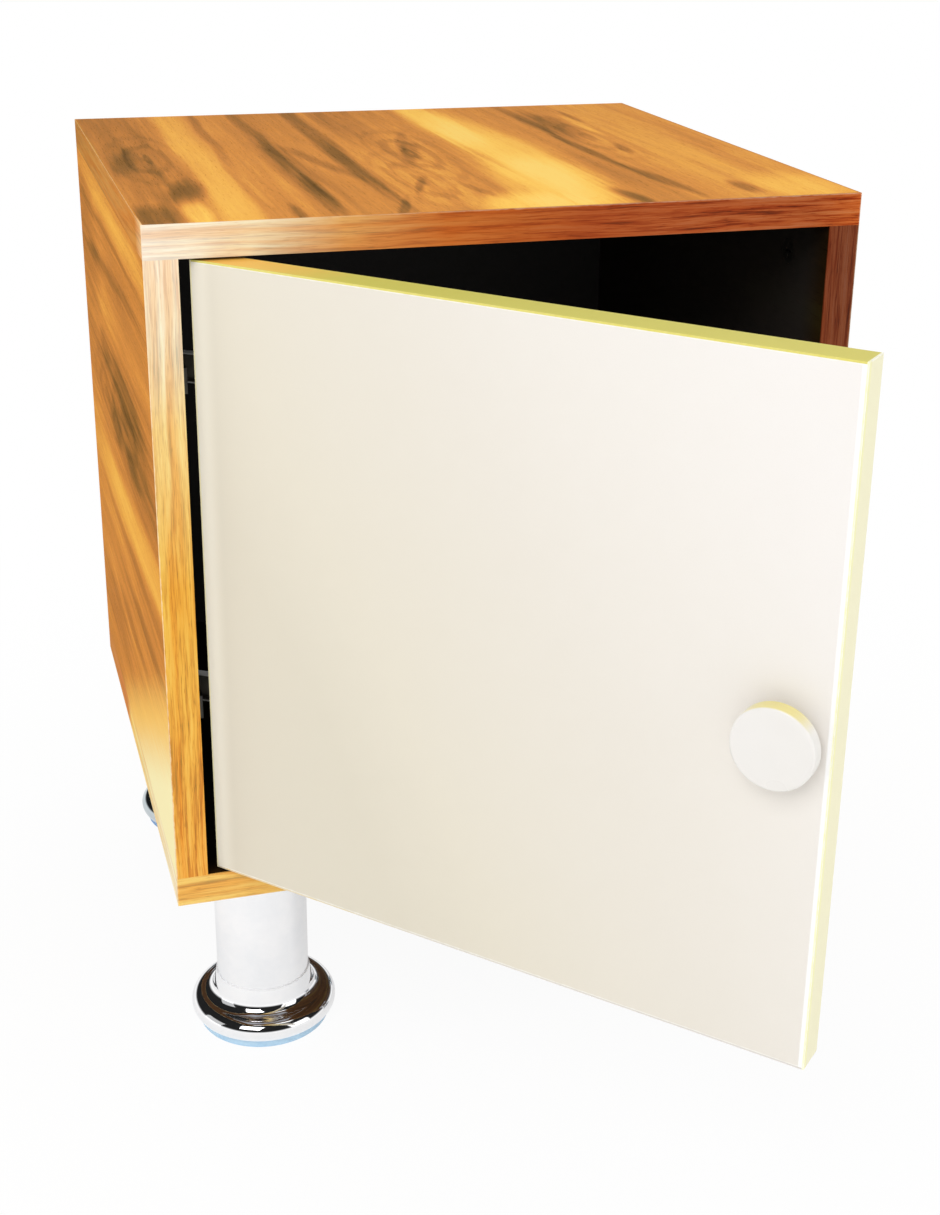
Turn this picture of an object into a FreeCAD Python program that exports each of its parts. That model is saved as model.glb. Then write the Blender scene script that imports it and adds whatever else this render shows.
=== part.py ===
"""Storage side table with one inset door: a board box on four chrome legs.

Cabinet coordinates: x from the left side (0) to the right, y from the front plane (0) to the back,
z up from the floor (0). Door coordinates: x from the hinge edge along the door, y from the front
face (0) into the board, z as in the cabinet. Hinge coordinates: x and y from the back corner of
the shut door at its hinge edge, z from the middle of the hinge, drawn with the door shut. Every
node is seated from these frames, with the origin on the floor below the middle of the table and
its half-open door.
"""
import FreeCAD, Part
import Sketcher
import math
import os

doc = FreeCAD.newDocument("side_table")
sheet = doc.addObject("Spreadsheet::Sheet", "Dims")
Vector = FreeCAD.Vector


# ---------------------------------------------------------------- driving dimensions, mm and degrees

SIZES = {
    # box
    "width": 400.0,
    "depth": 376.0,
    "box_height": 396.0,
    "board": 18.0,
    "band": 1.0,
    "fit_gap": 0.05,
    # back panel and its grooves
    "back_thick": 3.0,
    "back_inset": 10.0,
    "groove_depth": 6.0,
    "groove_gap": 0.1,
    # corner joints: cam locks, cam bolts and dowels
    "cam_setback": 50.0,
    "cam_radius": 7.5,
    "cam_past_bolt": 3.5,
    "cam_from_end": 24.0,
    "cam_slot_width": 1.6,
    "cam_slot_depth": 2.5,
    "cam_slot_length": 9.0,
    "cam_hook_radius": 3.6,
    "bolt_thread_radius": 2.8,
    "bolt_thread_length": 10.0,
    "bolt_collar_radius": 3.9,
    "bolt_collar": 2.0,
    "bolt_neck_radius": 2.0,
    "bolt_head_radius": 3.0,
    "bolt_head": 2.5,
    "bolt_channel_radius": 4.0,
    "dowel_setback": 82.0,
    "dowel_radius": 4.0,
    "dowel_length": 30.0,
    "dowel_in_board": 11.0,
    # door
    "door_thick": 18.0,
    "side_gap": 2.0,
    "end_gap": 1.5,
    "ajar": 47.0,
    # knob
    "knob_radius": 21.0,
    "knob_thick": 9.0,
    "knob_edge": 1.5,
    "knob_neck_radius": 13.0,
    "knob_neck_length": 5.0,
    "knob_from_edge": 24.5,
    "knob_rise": 175.0,
    "knob_screw_radius": 2.0,
    "knob_screw_reach": 9.0,
    "knob_screw_head_radius": 4.0,
    "knob_screw_head": 2.6,
    "machine_screw_tip": 1.0,
    # legs
    "leg_height": 120.0,
    "leg_radius": 28.5,
    "leg_wall": 1.5,
    "leg_inset_x": 57.0,
    "leg_inset_y": 56.5,
    "plate_half": 38.0,
    "plate_corner": 10.0,
    "plate_thick": 2.5,
    "plate_hole_offset": 29.0,
    "collar_height": 14.0,
    "collar_wall": 2.0,
    "foot_overhang": 16.7,
    "foot_wall": 1.2,
    "foot_sleeve": 0.6,
    "rim_round": 7.2,
    "rim_turn": 56.0,
    "flare_spread": 1.65,
    "flare_lean": 10.0,
    "glide_thick": 5.0,
    "glide_inset": 0.5,
    "glide_taper": 1.0,
    "glide_plug": 6.0,
    "grub_radius": 3.0,
    "grub_length": 3.4,
    "grub_drop": 7.0,
    # wood screws of the legs and hinges
    "wood_screw_radius": 1.9,
    "wood_screw_length": 14.0,
    "wood_screw_tip": 2.5,
    "wood_screw_head_radius": 3.8,
    "wood_screw_head": 2.2,
    # hinges: places of the pins with the door shut
    "upper_hinge_drop": 72.0,
    "lower_hinge_rise": 90.0,
    "outer_pin_x": 27.83,
    "outer_pin_y": 5.25,
    "inner_pin_x": 33.26,
    "inner_pin_y": 27.05,
    "cup_outer_pin_x": 12.34,
    "cup_outer_pin_depth": 4.61,
    "cup_inner_pin_x": 9.82,
    "cup_inner_pin_depth": 1.15,
    "outer_turn": 0.868,
    "inner_turn": 0.526,
    "pin_radius": 1.0,
    "pin_gap": 0.05,
    # hinge links
    "strip": 1.0,
    "outer_half": 6.0,
    "slot_half": 3.6,
    "stub_start": 3.4,
    "barrel_half": 7.1,
    "tongue_half": 3.0,
    "outer_eye_wall": 0.85,
    "inner_eye_wall": 1.15,
    "outer_knee_x": 3.04,
    "outer_knee_y": -16.03,
    "outer_bend_x": -15.61,
    "outer_bend_y": -16.05,
    "bridge_length": 4.0,
    "inner_knee_x": -15.61,
    "inner_knee_y": -26.69,
    "inner_bend_x": -19.69,
    "inner_bend_y": -29.08,
    "open_eye_x": -23.69,
    "open_eye_y": -27.98,
    "open_eye_gap": 0.45,
    "open_eye_wall": 0.65,
    # hinge arm and its base plate
    "arm_half": 8.5,
    "arm_hollow_half": 7.3,
    "arm_strap_half": 2.6,
    "arm_web": 1.3,
    "web_recess": 0.1,
    "arm_rear": 63.0,
    "arm_crank": 47.0,
    "base_start": 15.0,
    "base_length": 50.0,
    "base_half": 7.2,
    "base_height": 6.0,
    "wing_thick": 2.0,
    "wing_place": 37.0,
    "wing_width": 16.0,
    "wing_end_radius": 9.5,
    "wing_screw_offset": 16.0,
    "side_screw_place": 52.0,
    "fixing_screw_place": 60.0,
    "arm_screw_radius": 2.0,
    "arm_screw_reach": 3.5,
    "arm_screw_head_radius": 3.2,
    "arm_screw_head": 2.0,
    # hinge cup
    "cup_from_edge": 22.5,
    "cup_bore_radius": 17.5,
    "cup_bore_depth": 12.5,
    "cup_depth": 12.4,
    "cup_wall": 0.9,
    "cup_floor": 0.8,
    "flange_overhang": 2.5,
    "flange_thick": 1.0,
    "flange_screw_spread": 22.5,
    "flange_screw_inset": 9.5,
    "flange_ear_radius": 6.5,
}

for row, (alias, number) in enumerate(SIZES.items(), 1):
    sheet.set(f"A{row}", str(number))
    sheet.setAlias(f"A{row}", alias)
doc.recompute()


class Size:
    """A length or angle: its number, and the sheet expression that the model is bound to."""

    def __init__(self, text, value):
        self.text = text
        self.value = value

    def __add__(self, other):
        return combined(self, "+", other)

    def __radd__(self, other):
        return combined(other, "+", self)

    def __sub__(self, other):
        return combined(self, "-", other)

    def __rsub__(self, other):
        return combined(other, "-", self)

    def __mul__(self, other):
        return combined(self, "*", other)

    def __rmul__(self, other):
        return combined(other, "*", self)

    def __truediv__(self, other):
        return combined(self, "/", other)

    def __neg__(self):
        return combined(0, "-", self)


def sized(value):
    return value if isinstance(value, Size) else Size(repr(float(value)), float(value))


def combined(left, sign, right):
    left, right = sized(left), sized(right)
    totals = {
        "+": left.value + right.value,
        "-": left.value - right.value,
        "*": left.value * right.value,
        "/": left.value / right.value if right.value else 0.0,
    }
    return Size(f"({left.text} {sign} {right.text})", totals[sign])


def sine(angle):
    return Size(f"sin({angle.text})", math.sin(math.radians(angle.value)))


def cosine(angle):
    return Size(f"cos({angle.text})", math.cos(math.radians(angle.value)))


def root(square):
    return Size(f"sqrt({square.text})", math.sqrt(square.value))


def dim(alias):
    return Size(f"Dims.{alias}", float(getattr(sheet, alias)))


# ---------------------------------------------------------------- shapes bound to the sheet

TURNED_TO = {
    "x": FreeCAD.Rotation(Vector(0, 1, 0), 90),
    "y": FreeCAD.Rotation(Vector(1, 0, 0), -90),
    "z": FreeCAD.Rotation(),
}


def bind(thing, prop, size):
    thing.setExpression(prop, sized(size).text)


def seat(thing, x=0, y=0, z=0):
    for letter, size in zip("xyz", (x, y, z)):
        bind(thing, f"Placement.Base.{letter}", size)
    return thing


def box(corner, lengths):
    thing = doc.addObject("Part::Box", "box")
    for prop, size in zip(("Length", "Width", "Height"), lengths):
        bind(thing, prop, size)
    return seat(thing, *corner)


def rod(start, radius, length, along="z"):
    thing = doc.addObject("Part::Cylinder", "rod")
    bind(thing, "Radius", radius)
    bind(thing, "Height", length)
    thing.Placement = FreeCAD.Placement(Vector(), TURNED_TO[along])
    return seat(thing, *start)


def fused(things):
    if len(things) == 1:
        return things[0]
    thing = doc.addObject("Part::MultiFuse", "fused")
    thing.Shapes = things
    return thing


def cut(base, tools):
    thing = doc.addObject("Part::Cut", "cut")
    thing.Base = base
    thing.Tool = fused(tools)
    return thing


def group(things):
    thing = doc.addObject("Part::Compound", "group")
    thing.Links = things
    return thing


def mirrored(thing, normal, place):
    other = doc.addObject("Part::Mirroring", "mirrored")
    other.Source = thing
    other.Normal = normal
    for letter, share in zip("xyz", (normal.x, normal.y, normal.z)):
        if share:
            bind(other, f"Base.{letter}", place)
    return other


def moved(thing, x=0, y=0, z=0):
    return seat(group([thing]), x, y, z)


# ---------------------------------------------------------------- sketches, turned and padded pieces

def sketch_in(body, role):
    plane = next(item for item in body.Origin.OriginFeatures if item.Role == role)
    sketch = body.newObject("Sketcher::SketchObject", "sketch")
    sketch.AttachmentSupport = [(plane, "")]
    sketch.MapMode = "FlatFace"
    return sketch


def arc_between(start, end, radius, turn):
    """An arc from start to end: turn is 1 when it runs anticlockwise, -1 when clockwise."""
    chord = end - start
    middle = (start + end) * 0.5
    rise = math.sqrt(max(radius ** 2 - chord.Length ** 2 / 4, 0.0))
    centre = middle + Vector(-chord.y, chord.x, 0).normalize() * rise * turn
    first = math.atan2(start.y - centre.y, start.x - centre.x)
    last = math.atan2(end.y - centre.y, end.x - centre.x)
    if turn < 0:
        first, last = last, first
    return Part.ArcOfCircle(Part.Circle(centre, Vector(0, 0, 1), radius), first, last)


def hold_point(sketch, edge, point, place):
    """Fixes a sketch point at its two sizes; a zero puts it on the sketch's own axis."""
    for kind, axis, size in (("DistanceX", -2, place[0]), ("DistanceY", -1, place[1])):
        size = sized(size)
        if size.text == "0.0":
            sketch.addConstraint(Sketcher.Constraint("PointOnObject", edge, point, axis))
        else:
            index = sketch.addConstraint(Sketcher.Constraint(kind, -1, 1, edge, point, size.value))
            sketch.setExpression(f"Constraints[{index}]", size.text)


def draw_outline(sketch, points, arcs=None, closed=True):
    """Draws edges through the points. arcs gives (radius, turn) for the edges that are round."""
    arcs = arcs or {}
    points = [tuple(sized(value) for value in point) for point in points]
    spots = [Vector(x.value, y.value, 0) for x, y in points]
    count = len(points) if closed else len(points) - 1
    edges = []
    for number in range(count):
        start, end = spots[number], spots[(number + 1) % len(points)]
        if number in arcs:
            radius, turn = sized(arcs[number][0]), arcs[number][1]
            edge = sketch.addGeometry(arc_between(start, end, radius.value, turn), False)
            index = sketch.addConstraint(Sketcher.Constraint("Radius", edge, radius.value))
            sketch.setExpression(f"Constraints[{index}]", radius.text)
            edges.append((edge, 1, 2) if turn > 0 else (edge, 2, 1))
        else:
            edge = sketch.addGeometry(Part.LineSegment(start, end), False)
            edges.append((edge, 1, 2))
    for number in range(count if closed else count - 1):
        edge, _, last = edges[number]
        following, first, _ = edges[(number + 1) % count]
        sketch.addConstraint(Sketcher.Constraint("Coincident", edge, last, following, first))
    for number, (edge, first, last) in enumerate(edges):
        hold_point(sketch, edge, first, points[number])
    if not closed:
        hold_point(sketch, edges[-1][0], edges[-1][2], points[-1])


def draw_circle(sketch, x, y, radius):
    x, y, radius = sized(x), sized(y), sized(radius)
    circle = Part.Circle(Vector(x.value, y.value, 0), Vector(0, 0, 1), radius.value)
    edge = sketch.addGeometry(circle, False)
    hold_point(sketch, edge, 3, (x, y))
    index = sketch.addConstraint(Sketcher.Constraint("Radius", edge, radius.value))
    sketch.setExpression(f"Constraints[{index}]", radius.text)


def turned(points, arcs=None, along="z"):
    """A turned piece: points are (radius, place along the axis)."""
    body = doc.addObject("PartDesign::Body", "turned")
    sketch = sketch_in(body, "XZ_Plane" if along == "z" else "XY_Plane")
    if along == "x":
        points = [(place, radius) for radius, place in points]
        arcs = {edge: (radius, -turn) for edge, (radius, turn) in (arcs or {}).items()}
    draw_outline(sketch, points, arcs)
    doc.recompute()
    solid = body.newObject("PartDesign::Revolution", "revolution")
    solid.Profile = sketch
    solid.ReferenceAxis = (sketch, ["H_Axis" if along == "x" else "V_Axis"])
    solid.Angle = 360
    return body


def screw(radius, length, tip, head_radius, head, along):
    """A pointed screw with a low head: the head's underside at 0, the shank towards plus."""
    return turned([
        (0, -head),
        (head_radius, -head),
        (head_radius, 0),
        (radius, 0),
        (radius, length - tip),
        (0, length),
    ], along=along)


def padded(length, points, arcs=None, holes=(), role="XY_Plane", midplane=False):
    """A sheet piece: an outline with round holes (x, y, radius), padded to its thickness."""
    body = doc.addObject("PartDesign::Body", "padded")
    sketch = sketch_in(body, role)
    draw_outline(sketch, points, arcs)
    for x, y, radius in holes:
        draw_circle(sketch, x, y, radius)
    doc.recompute()
    solid = body.newObject("PartDesign::Pad", "pad")
    solid.Profile = sketch
    bind(solid, "Length", length)
    solid.Midplane = midplane
    return body


def bent_strip(points, half_thickness, half_width):
    """A strip bent along a path in plan, its round ends included, standing on edge about z = 0."""
    path = doc.addObject("Sketcher::SketchObject", "bent_path")
    draw_outline(path, points, closed=False)
    flat = doc.addObject("Part::Offset2D", "strip_plan")
    flat.Source = path
    flat.Fill = True
    bind(flat, "Value", half_thickness)
    strip = doc.addObject("Part::Extrusion", "strip")
    strip.Base = flat
    strip.DirMode = "Custom"
    strip.Dir = Vector(0, 0, 1)
    strip.Symmetric = True
    strip.Solid = True
    bind(strip, "LengthFwd", 2 * half_width)
    return strip


def upright(x, y, radius, half_length):
    """A round bar along z, as long above z = 0 as below."""
    return rod((x, y, -half_length), radius, 2 * half_length)


# ---------------------------------------------------------------- places worked out from the sizes

width, depth, board, band, fit_gap = (dim(a) for a in ("width", "depth", "board", "band", "fit_gap"))
leg_height, box_height = dim("leg_height"), dim("box_height")
floor_of_box = leg_height
inner_bottom = leg_height + board
box_top = leg_height + box_height
mid_x = width / 2
mid_z = leg_height + box_height / 2

door_thick, side_gap, end_gap, ajar = (dim(a) for a in ("door_thick", "side_gap", "end_gap", "ajar"))
door_width = width - 2 * board - 2 * side_gap
door_bottom = inner_bottom + end_gap
door_height = box_height - 2 * board - 2 * end_gap
door_top = door_bottom + door_height
hinge_heights = {
    "upper": door_top - dim("upper_hinge_drop"),
    "lower": door_bottom + dim("lower_hinge_rise"),
}

shut_x = board + side_gap
shut_y = door_thick
outer_pin = (dim("outer_pin_x"), dim("outer_pin_y"))
inner_pin = (dim("inner_pin_x"), dim("inner_pin_y"))
cup_outer_pin = (dim("cup_outer_pin_x"), door_thick - dim("cup_outer_pin_depth"))
cup_inner_pin = (dim("cup_inner_pin_x"), door_thick - dim("cup_inner_pin_depth"))
outer_angle = dim("outer_turn") * ajar
inner_angle = dim("inner_turn") * ajar

# the outer link carries the door's hinge point round the arm's pin, which sets where the door is
link_x = cup_outer_pin[0] - outer_pin[0]
link_y = -(dim("cup_outer_pin_depth") + outer_pin[1])
carried_x = shut_x + outer_pin[0] + link_x * cosine(outer_angle) - link_y * sine(outer_angle)
carried_y = shut_y + outer_pin[1] + link_x * sine(outer_angle) + link_y * cosine(outer_angle)
corner_x = carried_x - cup_outer_pin[0] * cosine(ajar) - cup_outer_pin[1] * sine(ajar)
corner_y = carried_y + cup_outer_pin[0] * sine(ajar) - cup_outer_pin[1] * cosine(ajar)

# foremost point of the half-open table: the rim of the knob
knob_reach = door_width - dim("knob_from_edge") + dim("knob_radius") - dim("knob_edge")
knob_front = dim("knob_neck_length") + dim("knob_thick") - dim("knob_edge")
front_y = corner_y - knob_reach * sine(ajar) - knob_front * cosine(ajar) - dim("knob_edge")
origin_y = (depth + front_y) / 2

nodes = {}


def node(label, thing, x=0, y=0, z=0, turn=None):
    """Names a finished piece and seats it from cabinet coordinates; turn is about z."""
    piece = group([thing])
    piece.Label = label
    if turn is not None:
        piece.Placement = FreeCAD.Placement(Vector(), FreeCAD.Rotation(Vector(0, 0, 1), turn.value))
        bind(piece, "Placement.Rotation.Angle", turn)
    seat(piece, x - mid_x, y - origin_y, z)
    nodes[label] = piece
    return piece


def door_node(label, thing):
    """Names a piece drawn in door coordinates and swings it out with the door."""
    return node(label, thing, corner_x, corner_y, 0, -ajar)


# ---------------------------------------------------------------- boards and their edge bands

def corner_set(thing):
    """The piece drawn at the lower left corner, again at the three other corners of the box."""
    lower_and_upper = group([thing, mirrored(thing, Vector(0, 0, 1), mid_z)])
    return group([lower_and_upper, mirrored(lower_and_upper, Vector(1, 0, 0), mid_x)])


def front_and_rear(make, setback):
    """The same fitting near the front edge and near the rear edge of a joint."""
    return [make(setback), make(depth - setback)]


cam_setback, dowel_setback = dim("cam_setback"), dim("dowel_setback")
back_front = depth - dim("back_inset") - dim("back_thick")
groove_depth, groove_gap = dim("groove_depth"), dim("groove_gap")
groove_front = back_front - groove_gap
groove_width = dim("back_thick") + 2 * groove_gap
joint_x = board / 2
cam_depth = joint_x + dim("cam_past_bolt")
leg_places = {
    "front_left": (dim("leg_inset_x"), dim("leg_inset_y")),
    "front_right": (width - dim("leg_inset_x"), dim("leg_inset_y")),
    "rear_left": (dim("leg_inset_x"), depth - dim("leg_inset_y")),
    "rear_right": (width - dim("leg_inset_x"), depth - dim("leg_inset_y")),
}
plate_corners = [(across, along) for across in (-1, 1) for along in (-1, 1)]
pilot_radius = dim("wood_screw_radius") + fit_gap


def bolt_hole(place):
    return rod((joint_x, place, inner_bottom - dim("bolt_thread_length")),
               dim("bolt_thread_radius"), dim("bolt_thread_length"))


def dowel_hole(place):
    return rod((joint_x, place, inner_bottom - dim("dowel_in_board") - fit_gap),
               dim("dowel_radius") + fit_gap, dim("dowel_in_board") + fit_gap)


def panel_holes():
    """Holes in the bottom board for the cam bolts and dowels of its two ends."""
    holes = front_and_rear(bolt_hole, cam_setback) + front_and_rear(dowel_hole, dowel_setback)
    return holes + [mirrored(hole, Vector(1, 0, 0), mid_x) for hole in holes]


def end_panel(tools):
    """The bottom board: it runs over the ends of the side boards."""
    core = box((band, band, floor_of_box), (width - 2 * band, depth - band, board))
    groove = box((board - groove_depth, groove_front, inner_bottom - groove_depth),
                 (width - 2 * board + 2 * groove_depth, groove_width, groove_depth))
    return cut(core, panel_holes() + [groove] + tools)


def leg_pilots():
    depth_in_board = dim("wood_screw_length") - dim("plate_thick") + fit_gap
    return [
        rod((x + across * dim("plate_hole_offset"), y + along * dim("plate_hole_offset"), floor_of_box),
            pilot_radius, depth_in_board)
        for x, y in leg_places.values()
        for across, along in plate_corners
    ]


node("bottom_panel", end_panel(leg_pilots()))
node("top_panel", mirrored(end_panel([]), Vector(0, 0, 1), mid_z))

for name, bottom in (("bottom_panel", floor_of_box), ("top_panel", box_top - board)):
    node(f"{name}_front_band", box((0, 0, bottom), (width, band, board)))
    node(f"{name}_left_band", box((0, band, bottom), (band, depth - band, board)))
    node(f"{name}_right_band", box((width - band, band, bottom), (band, depth - band, board)))

cam_height = inner_bottom + dim("cam_from_end")
side_height = box_height - 2 * board


def cam_bore(place):
    return rod((board - cam_depth, place, cam_height), dim("cam_radius") + fit_gap, cam_depth, "x")


def bolt_channel(place):
    return rod((joint_x, place, inner_bottom), dim("bolt_channel_radius"), dim("cam_from_end"))


def dowel_end_hole(place):
    return rod((joint_x, place, inner_bottom), dim("dowel_radius") + fit_gap,
               dim("dowel_length") - dim("dowel_in_board") + fit_gap)


def side_panel(tools):
    """The left side board, which stands between the bottom and the top."""
    core = box((0, band, inner_bottom), (board, depth - band, side_height))
    lower = []
    for make, setback in ((cam_bore, cam_setback), (bolt_channel, cam_setback),
                          (dowel_end_hole, dowel_setback)):
        lower += front_and_rear(make, setback)
    upper = [mirrored(hole, Vector(0, 0, 1), mid_z) for hole in lower]
    groove = box((board - groove_depth, groove_front, inner_bottom),
                 (groove_depth, groove_width, side_height))
    return cut(core, lower + upper + [groove] + tools)


hinge_wing_y = shut_y + dim("wing_place")


def hinge_pilots():
    reach = dim("wood_screw_length") - dim("wing_thick") + fit_gap
    return [
        rod((board - reach, hinge_wing_y, height + side * dim("wing_screw_offset")),
            pilot_radius, reach, "x")
        for height in hinge_heights.values()
        for side in (-1, 1)
    ]


node("left_side_panel", side_panel(hinge_pilots()))
node("right_side_panel", mirrored(side_panel([]), Vector(1, 0, 0), mid_x))
node("left_side_front_band", box((0, 0, inner_bottom), (board, band, side_height)))
node("right_side_front_band", box((width - board, 0, inner_bottom), (board, band, side_height)))

tongue = groove_depth - groove_gap
node("back_panel", box((board - tongue, back_front, inner_bottom - tongue),
                       (width - 2 * board + 2 * tongue, dim("back_thick"), side_height + 2 * tongue)))


# ---------------------------------------------------------------- cam locks, cam bolts and dowels

def cam_lock(place):
    """A cam housing with a cross slot in its face and a hooked pocket for the bolt's head."""
    slot, length, slot_depth = dim("cam_slot_width"), dim("cam_slot_length"), dim("cam_slot_depth")
    drum = rod((board - cam_depth, place, cam_height), dim("cam_radius"), cam_depth, "x")
    slots = [
        box((board - slot_depth, place - slot / 2, cam_height - length / 2),
            (slot_depth, slot, length)),
        box((board - slot_depth, place - length / 2, cam_height - slot / 2),
            (slot_depth, length, slot)),
    ]
    pocket = rod((joint_x, place, cam_height - dim("cam_radius")), dim("cam_hook_radius"),
                 dim("cam_radius") + dim("bolt_head"))
    return cut(drum, slots + [pocket])


def cam_bolt(place):
    """Thread in the board, collar on its face, then a neck up to the head inside the cam."""
    thread_radius, thread_end = dim("bolt_thread_radius"), -dim("bolt_thread_length")
    collar_radius, collar_top = dim("bolt_collar_radius"), dim("bolt_collar")
    neck_radius, head_radius = dim("bolt_neck_radius"), dim("bolt_head_radius")
    head_top = dim("cam_from_end") + dim("bolt_head") / 2
    head_bottom = head_top - dim("bolt_head")
    piece = turned([
        (0, thread_end),
        (thread_radius, thread_end),
        (thread_radius, 0),
        (collar_radius, 0),
        (collar_radius, collar_top),
        (neck_radius, collar_top),
        (neck_radius, head_bottom),
        (head_radius, head_bottom),
        (head_radius, head_top),
        (0, head_top),
    ])
    return moved(piece, joint_x, place, inner_bottom)


def dowel(place):
    return rod((joint_x, place, inner_bottom - dim("dowel_in_board")), dim("dowel_radius"),
               dim("dowel_length"))


node("cam_locks", corner_set(group(front_and_rear(cam_lock, cam_setback))))
node("cam_bolts", corner_set(group(front_and_rear(cam_bolt, cam_setback))))
node("corner_dowels", corner_set(group(front_and_rear(dowel, dowel_setback))))


# ---------------------------------------------------------------- legs

leg_radius, leg_wall = dim("leg_radius"), dim("leg_wall")
leg_bore = leg_radius - leg_wall
plate_bottom = leg_height - dim("plate_thick")
glide_top = dim("glide_thick")
grub_height = plate_bottom - dim("grub_drop")
grub_hole_radius = dim("grub_radius") + fit_gap
collar_outer = leg_bore - fit_gap
collar_inner = collar_outer - dim("collar_wall")


def grub_hole():
    return rod((0, 0, grub_height), grub_hole_radius, leg_radius + leg_wall, "y")


def leg_tube():
    tube = turned([
        (leg_bore, glide_top),
        (leg_radius, glide_top),
        (leg_radius, plate_bottom),
        (leg_bore, plate_bottom),
    ])
    return cut(tube, [grub_hole()])


rim_round = dim("rim_round")
rim_middle = leg_radius + dim("foot_overhang") - rim_round
rim_height = glide_top + rim_round * sine(dim("rim_turn"))
rim_foot = rim_middle + rim_round * cosine(dim("rim_turn"))


def leg_foot():
    """The flared foot: a round rim, then a sweep up to a leaning neck and a thin sleeve's edge."""
    wall, spread, lean = dim("foot_wall"), dim("flare_spread"), dim("flare_lean")
    crest = rim_height + rim_round
    sleeve_inner = leg_radius + fit_gap
    sleeve_outer = sleeve_inner + dim("foot_sleeve")
    sweep = (rim_middle - sleeve_outer - spread) / cosine(lean)
    sweep_top = crest + sweep * (1 - sine(lean))
    sleeve_top = sweep_top + spread * cosine(lean) / sine(lean)
    return turned([
        (rim_foot, glide_top),
        (rim_middle, crest),
        (sleeve_outer + spread, sweep_top),
        (sleeve_outer, sleeve_top),
        (sleeve_inner, sleeve_top),
        (sleeve_inner, crest - wall),
        (rim_middle, crest - wall),
        (rim_middle + rim_round - wall, rim_height),
        (rim_foot - wall, glide_top),
    ], {0: (rim_round, 1), 1: (sweep, -1)})


def leg_glide():
    """The plastic disc under the foot, with the plug that centres it in the tube."""
    disc = rim_foot - dim("glide_inset")
    plug = leg_bore - fit_gap
    plug_top = glide_top + dim("glide_plug")
    return turned([
        (0, 0),
        (disc - dim("glide_taper"), 0),
        (disc, glide_top),
        (plug, glide_top),
        (plug, plug_top),
        (0, plug_top),
    ])


def leg_plate():
    """A square plate with round corners and the collar that the tube slips over."""
    half, corner = dim("plate_half"), dim("plate_corner")
    flat = half - corner
    hole = dim("plate_hole_offset")
    sheet_piece = padded(
        dim("plate_thick"),
        [(-flat, -half), (flat, -half), (half, -flat), (half, flat),
         (flat, half), (-flat, half), (-half, flat), (-half, -flat)],
        {1: (corner, 1), 3: (corner, 1), 5: (corner, 1), 7: (corner, 1)},
        [(across * hole, along * hole, pilot_radius) for across, along in plate_corners])
    collar = cut(rod((0, 0, plate_bottom - dim("collar_height")), collar_outer, dim("collar_height")),
                 [rod((0, 0, plate_bottom - dim("collar_height")), collar_inner,
                      dim("collar_height")), grub_hole()])
    return fused([seat(sheet_piece, 0, 0, plate_bottom), collar])


def leg_screws():
    """Four wood screws, heads under the plate, shanks up into the bottom board."""
    hole = dim("plate_hole_offset")
    pieces = []
    for across, along in plate_corners:
        piece = screw(dim("wood_screw_radius"), dim("wood_screw_length"), dim("wood_screw_tip"),
                      dim("wood_screw_head_radius"), dim("wood_screw_head"), "z")
        pieces.append(moved(piece, across * hole, along * hole, plate_bottom))
    return group(pieces)


def leg_grub():
    return rod((0, collar_inner, grub_height), dim("grub_radius"), dim("grub_length"), "y")


tube, foot, plate, glide = leg_tube(), leg_foot(), leg_plate(), leg_glide()
for place, (x, y) in leg_places.items():
    node(f"{place}_leg_tube", tube, x, y)
    node(f"{place}_leg_foot", foot, x, y)
    node(f"{place}_leg_plate", plate, x, y)
    node(f"{place}_leg_glide", glide, x, y)


def at_every_leg(thing):
    return group([moved(thing, x, y) for x, y in leg_places.values()])


node("leg_plate_screws", at_every_leg(leg_screws()))
node("leg_grub_screws", at_every_leg(leg_grub()))


# ---------------------------------------------------------------- door, knob and its screw

cup_bore_radius = dim("cup_bore_radius")
flange_screw_x = dim("cup_from_edge") + dim("flange_screw_inset")
knob_x = door_width - dim("knob_from_edge")
knob_z = door_bottom + dim("knob_rise")
cup_screw_reach = dim("wood_screw_length") - dim("flange_thick") + fit_gap
knob_screw_hole = dim("knob_screw_radius") + fit_gap


def door_board():
    core = box((band, 0, door_bottom + band),
               (door_width - 2 * band, door_thick, door_height - 2 * band))
    tools = [rod((knob_x, 0, knob_z), knob_screw_hole, door_thick, "y")]
    for height in hinge_heights.values():
        tools.append(rod((dim("cup_from_edge"), door_thick - dim("cup_bore_depth"), height),
                         cup_bore_radius, dim("cup_bore_depth"), "y"))
        for side in (-1, 1):
            tools.append(rod((flange_screw_x, door_thick - cup_screw_reach,
                              height + side * dim("flange_screw_spread")),
                             pilot_radius, cup_screw_reach, "y"))
    return cut(core, tools)


door_node("door_panel", door_board())
door_node("door_hinge_side_band", box((0, 0, door_bottom), (band, door_thick, door_height)))
door_node("door_handle_side_band", box((door_width - band, 0, door_bottom),
                                       (band, door_thick, door_height)))
door_node("door_top_band", box((band, 0, door_top - band), (door_width - 2 * band, door_thick, band)))
door_node("door_bottom_band", box((band, 0, door_bottom), (door_width - 2 * band, door_thick, band)))


def knob():
    """A flat round knob: a disc with a soft front rim on a narrower neck."""
    radius, edge = dim("knob_radius"), dim("knob_edge")
    neck, neck_end = dim("knob_neck_radius"), -dim("knob_neck_length")
    face = neck_end - dim("knob_thick")
    reach = -(dim("knob_screw_reach") + fit_gap)
    return turned([
        (knob_screw_hole, 0),
        (neck, 0),
        (neck, neck_end),
        (radius - edge, neck_end),
        (radius, neck_end - edge),
        (radius, face + edge),
        (radius - edge, face),
        (0, face),
        (0, reach),
        (knob_screw_hole, reach),
    ], {5: (edge, -1)}, "y")


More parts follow.
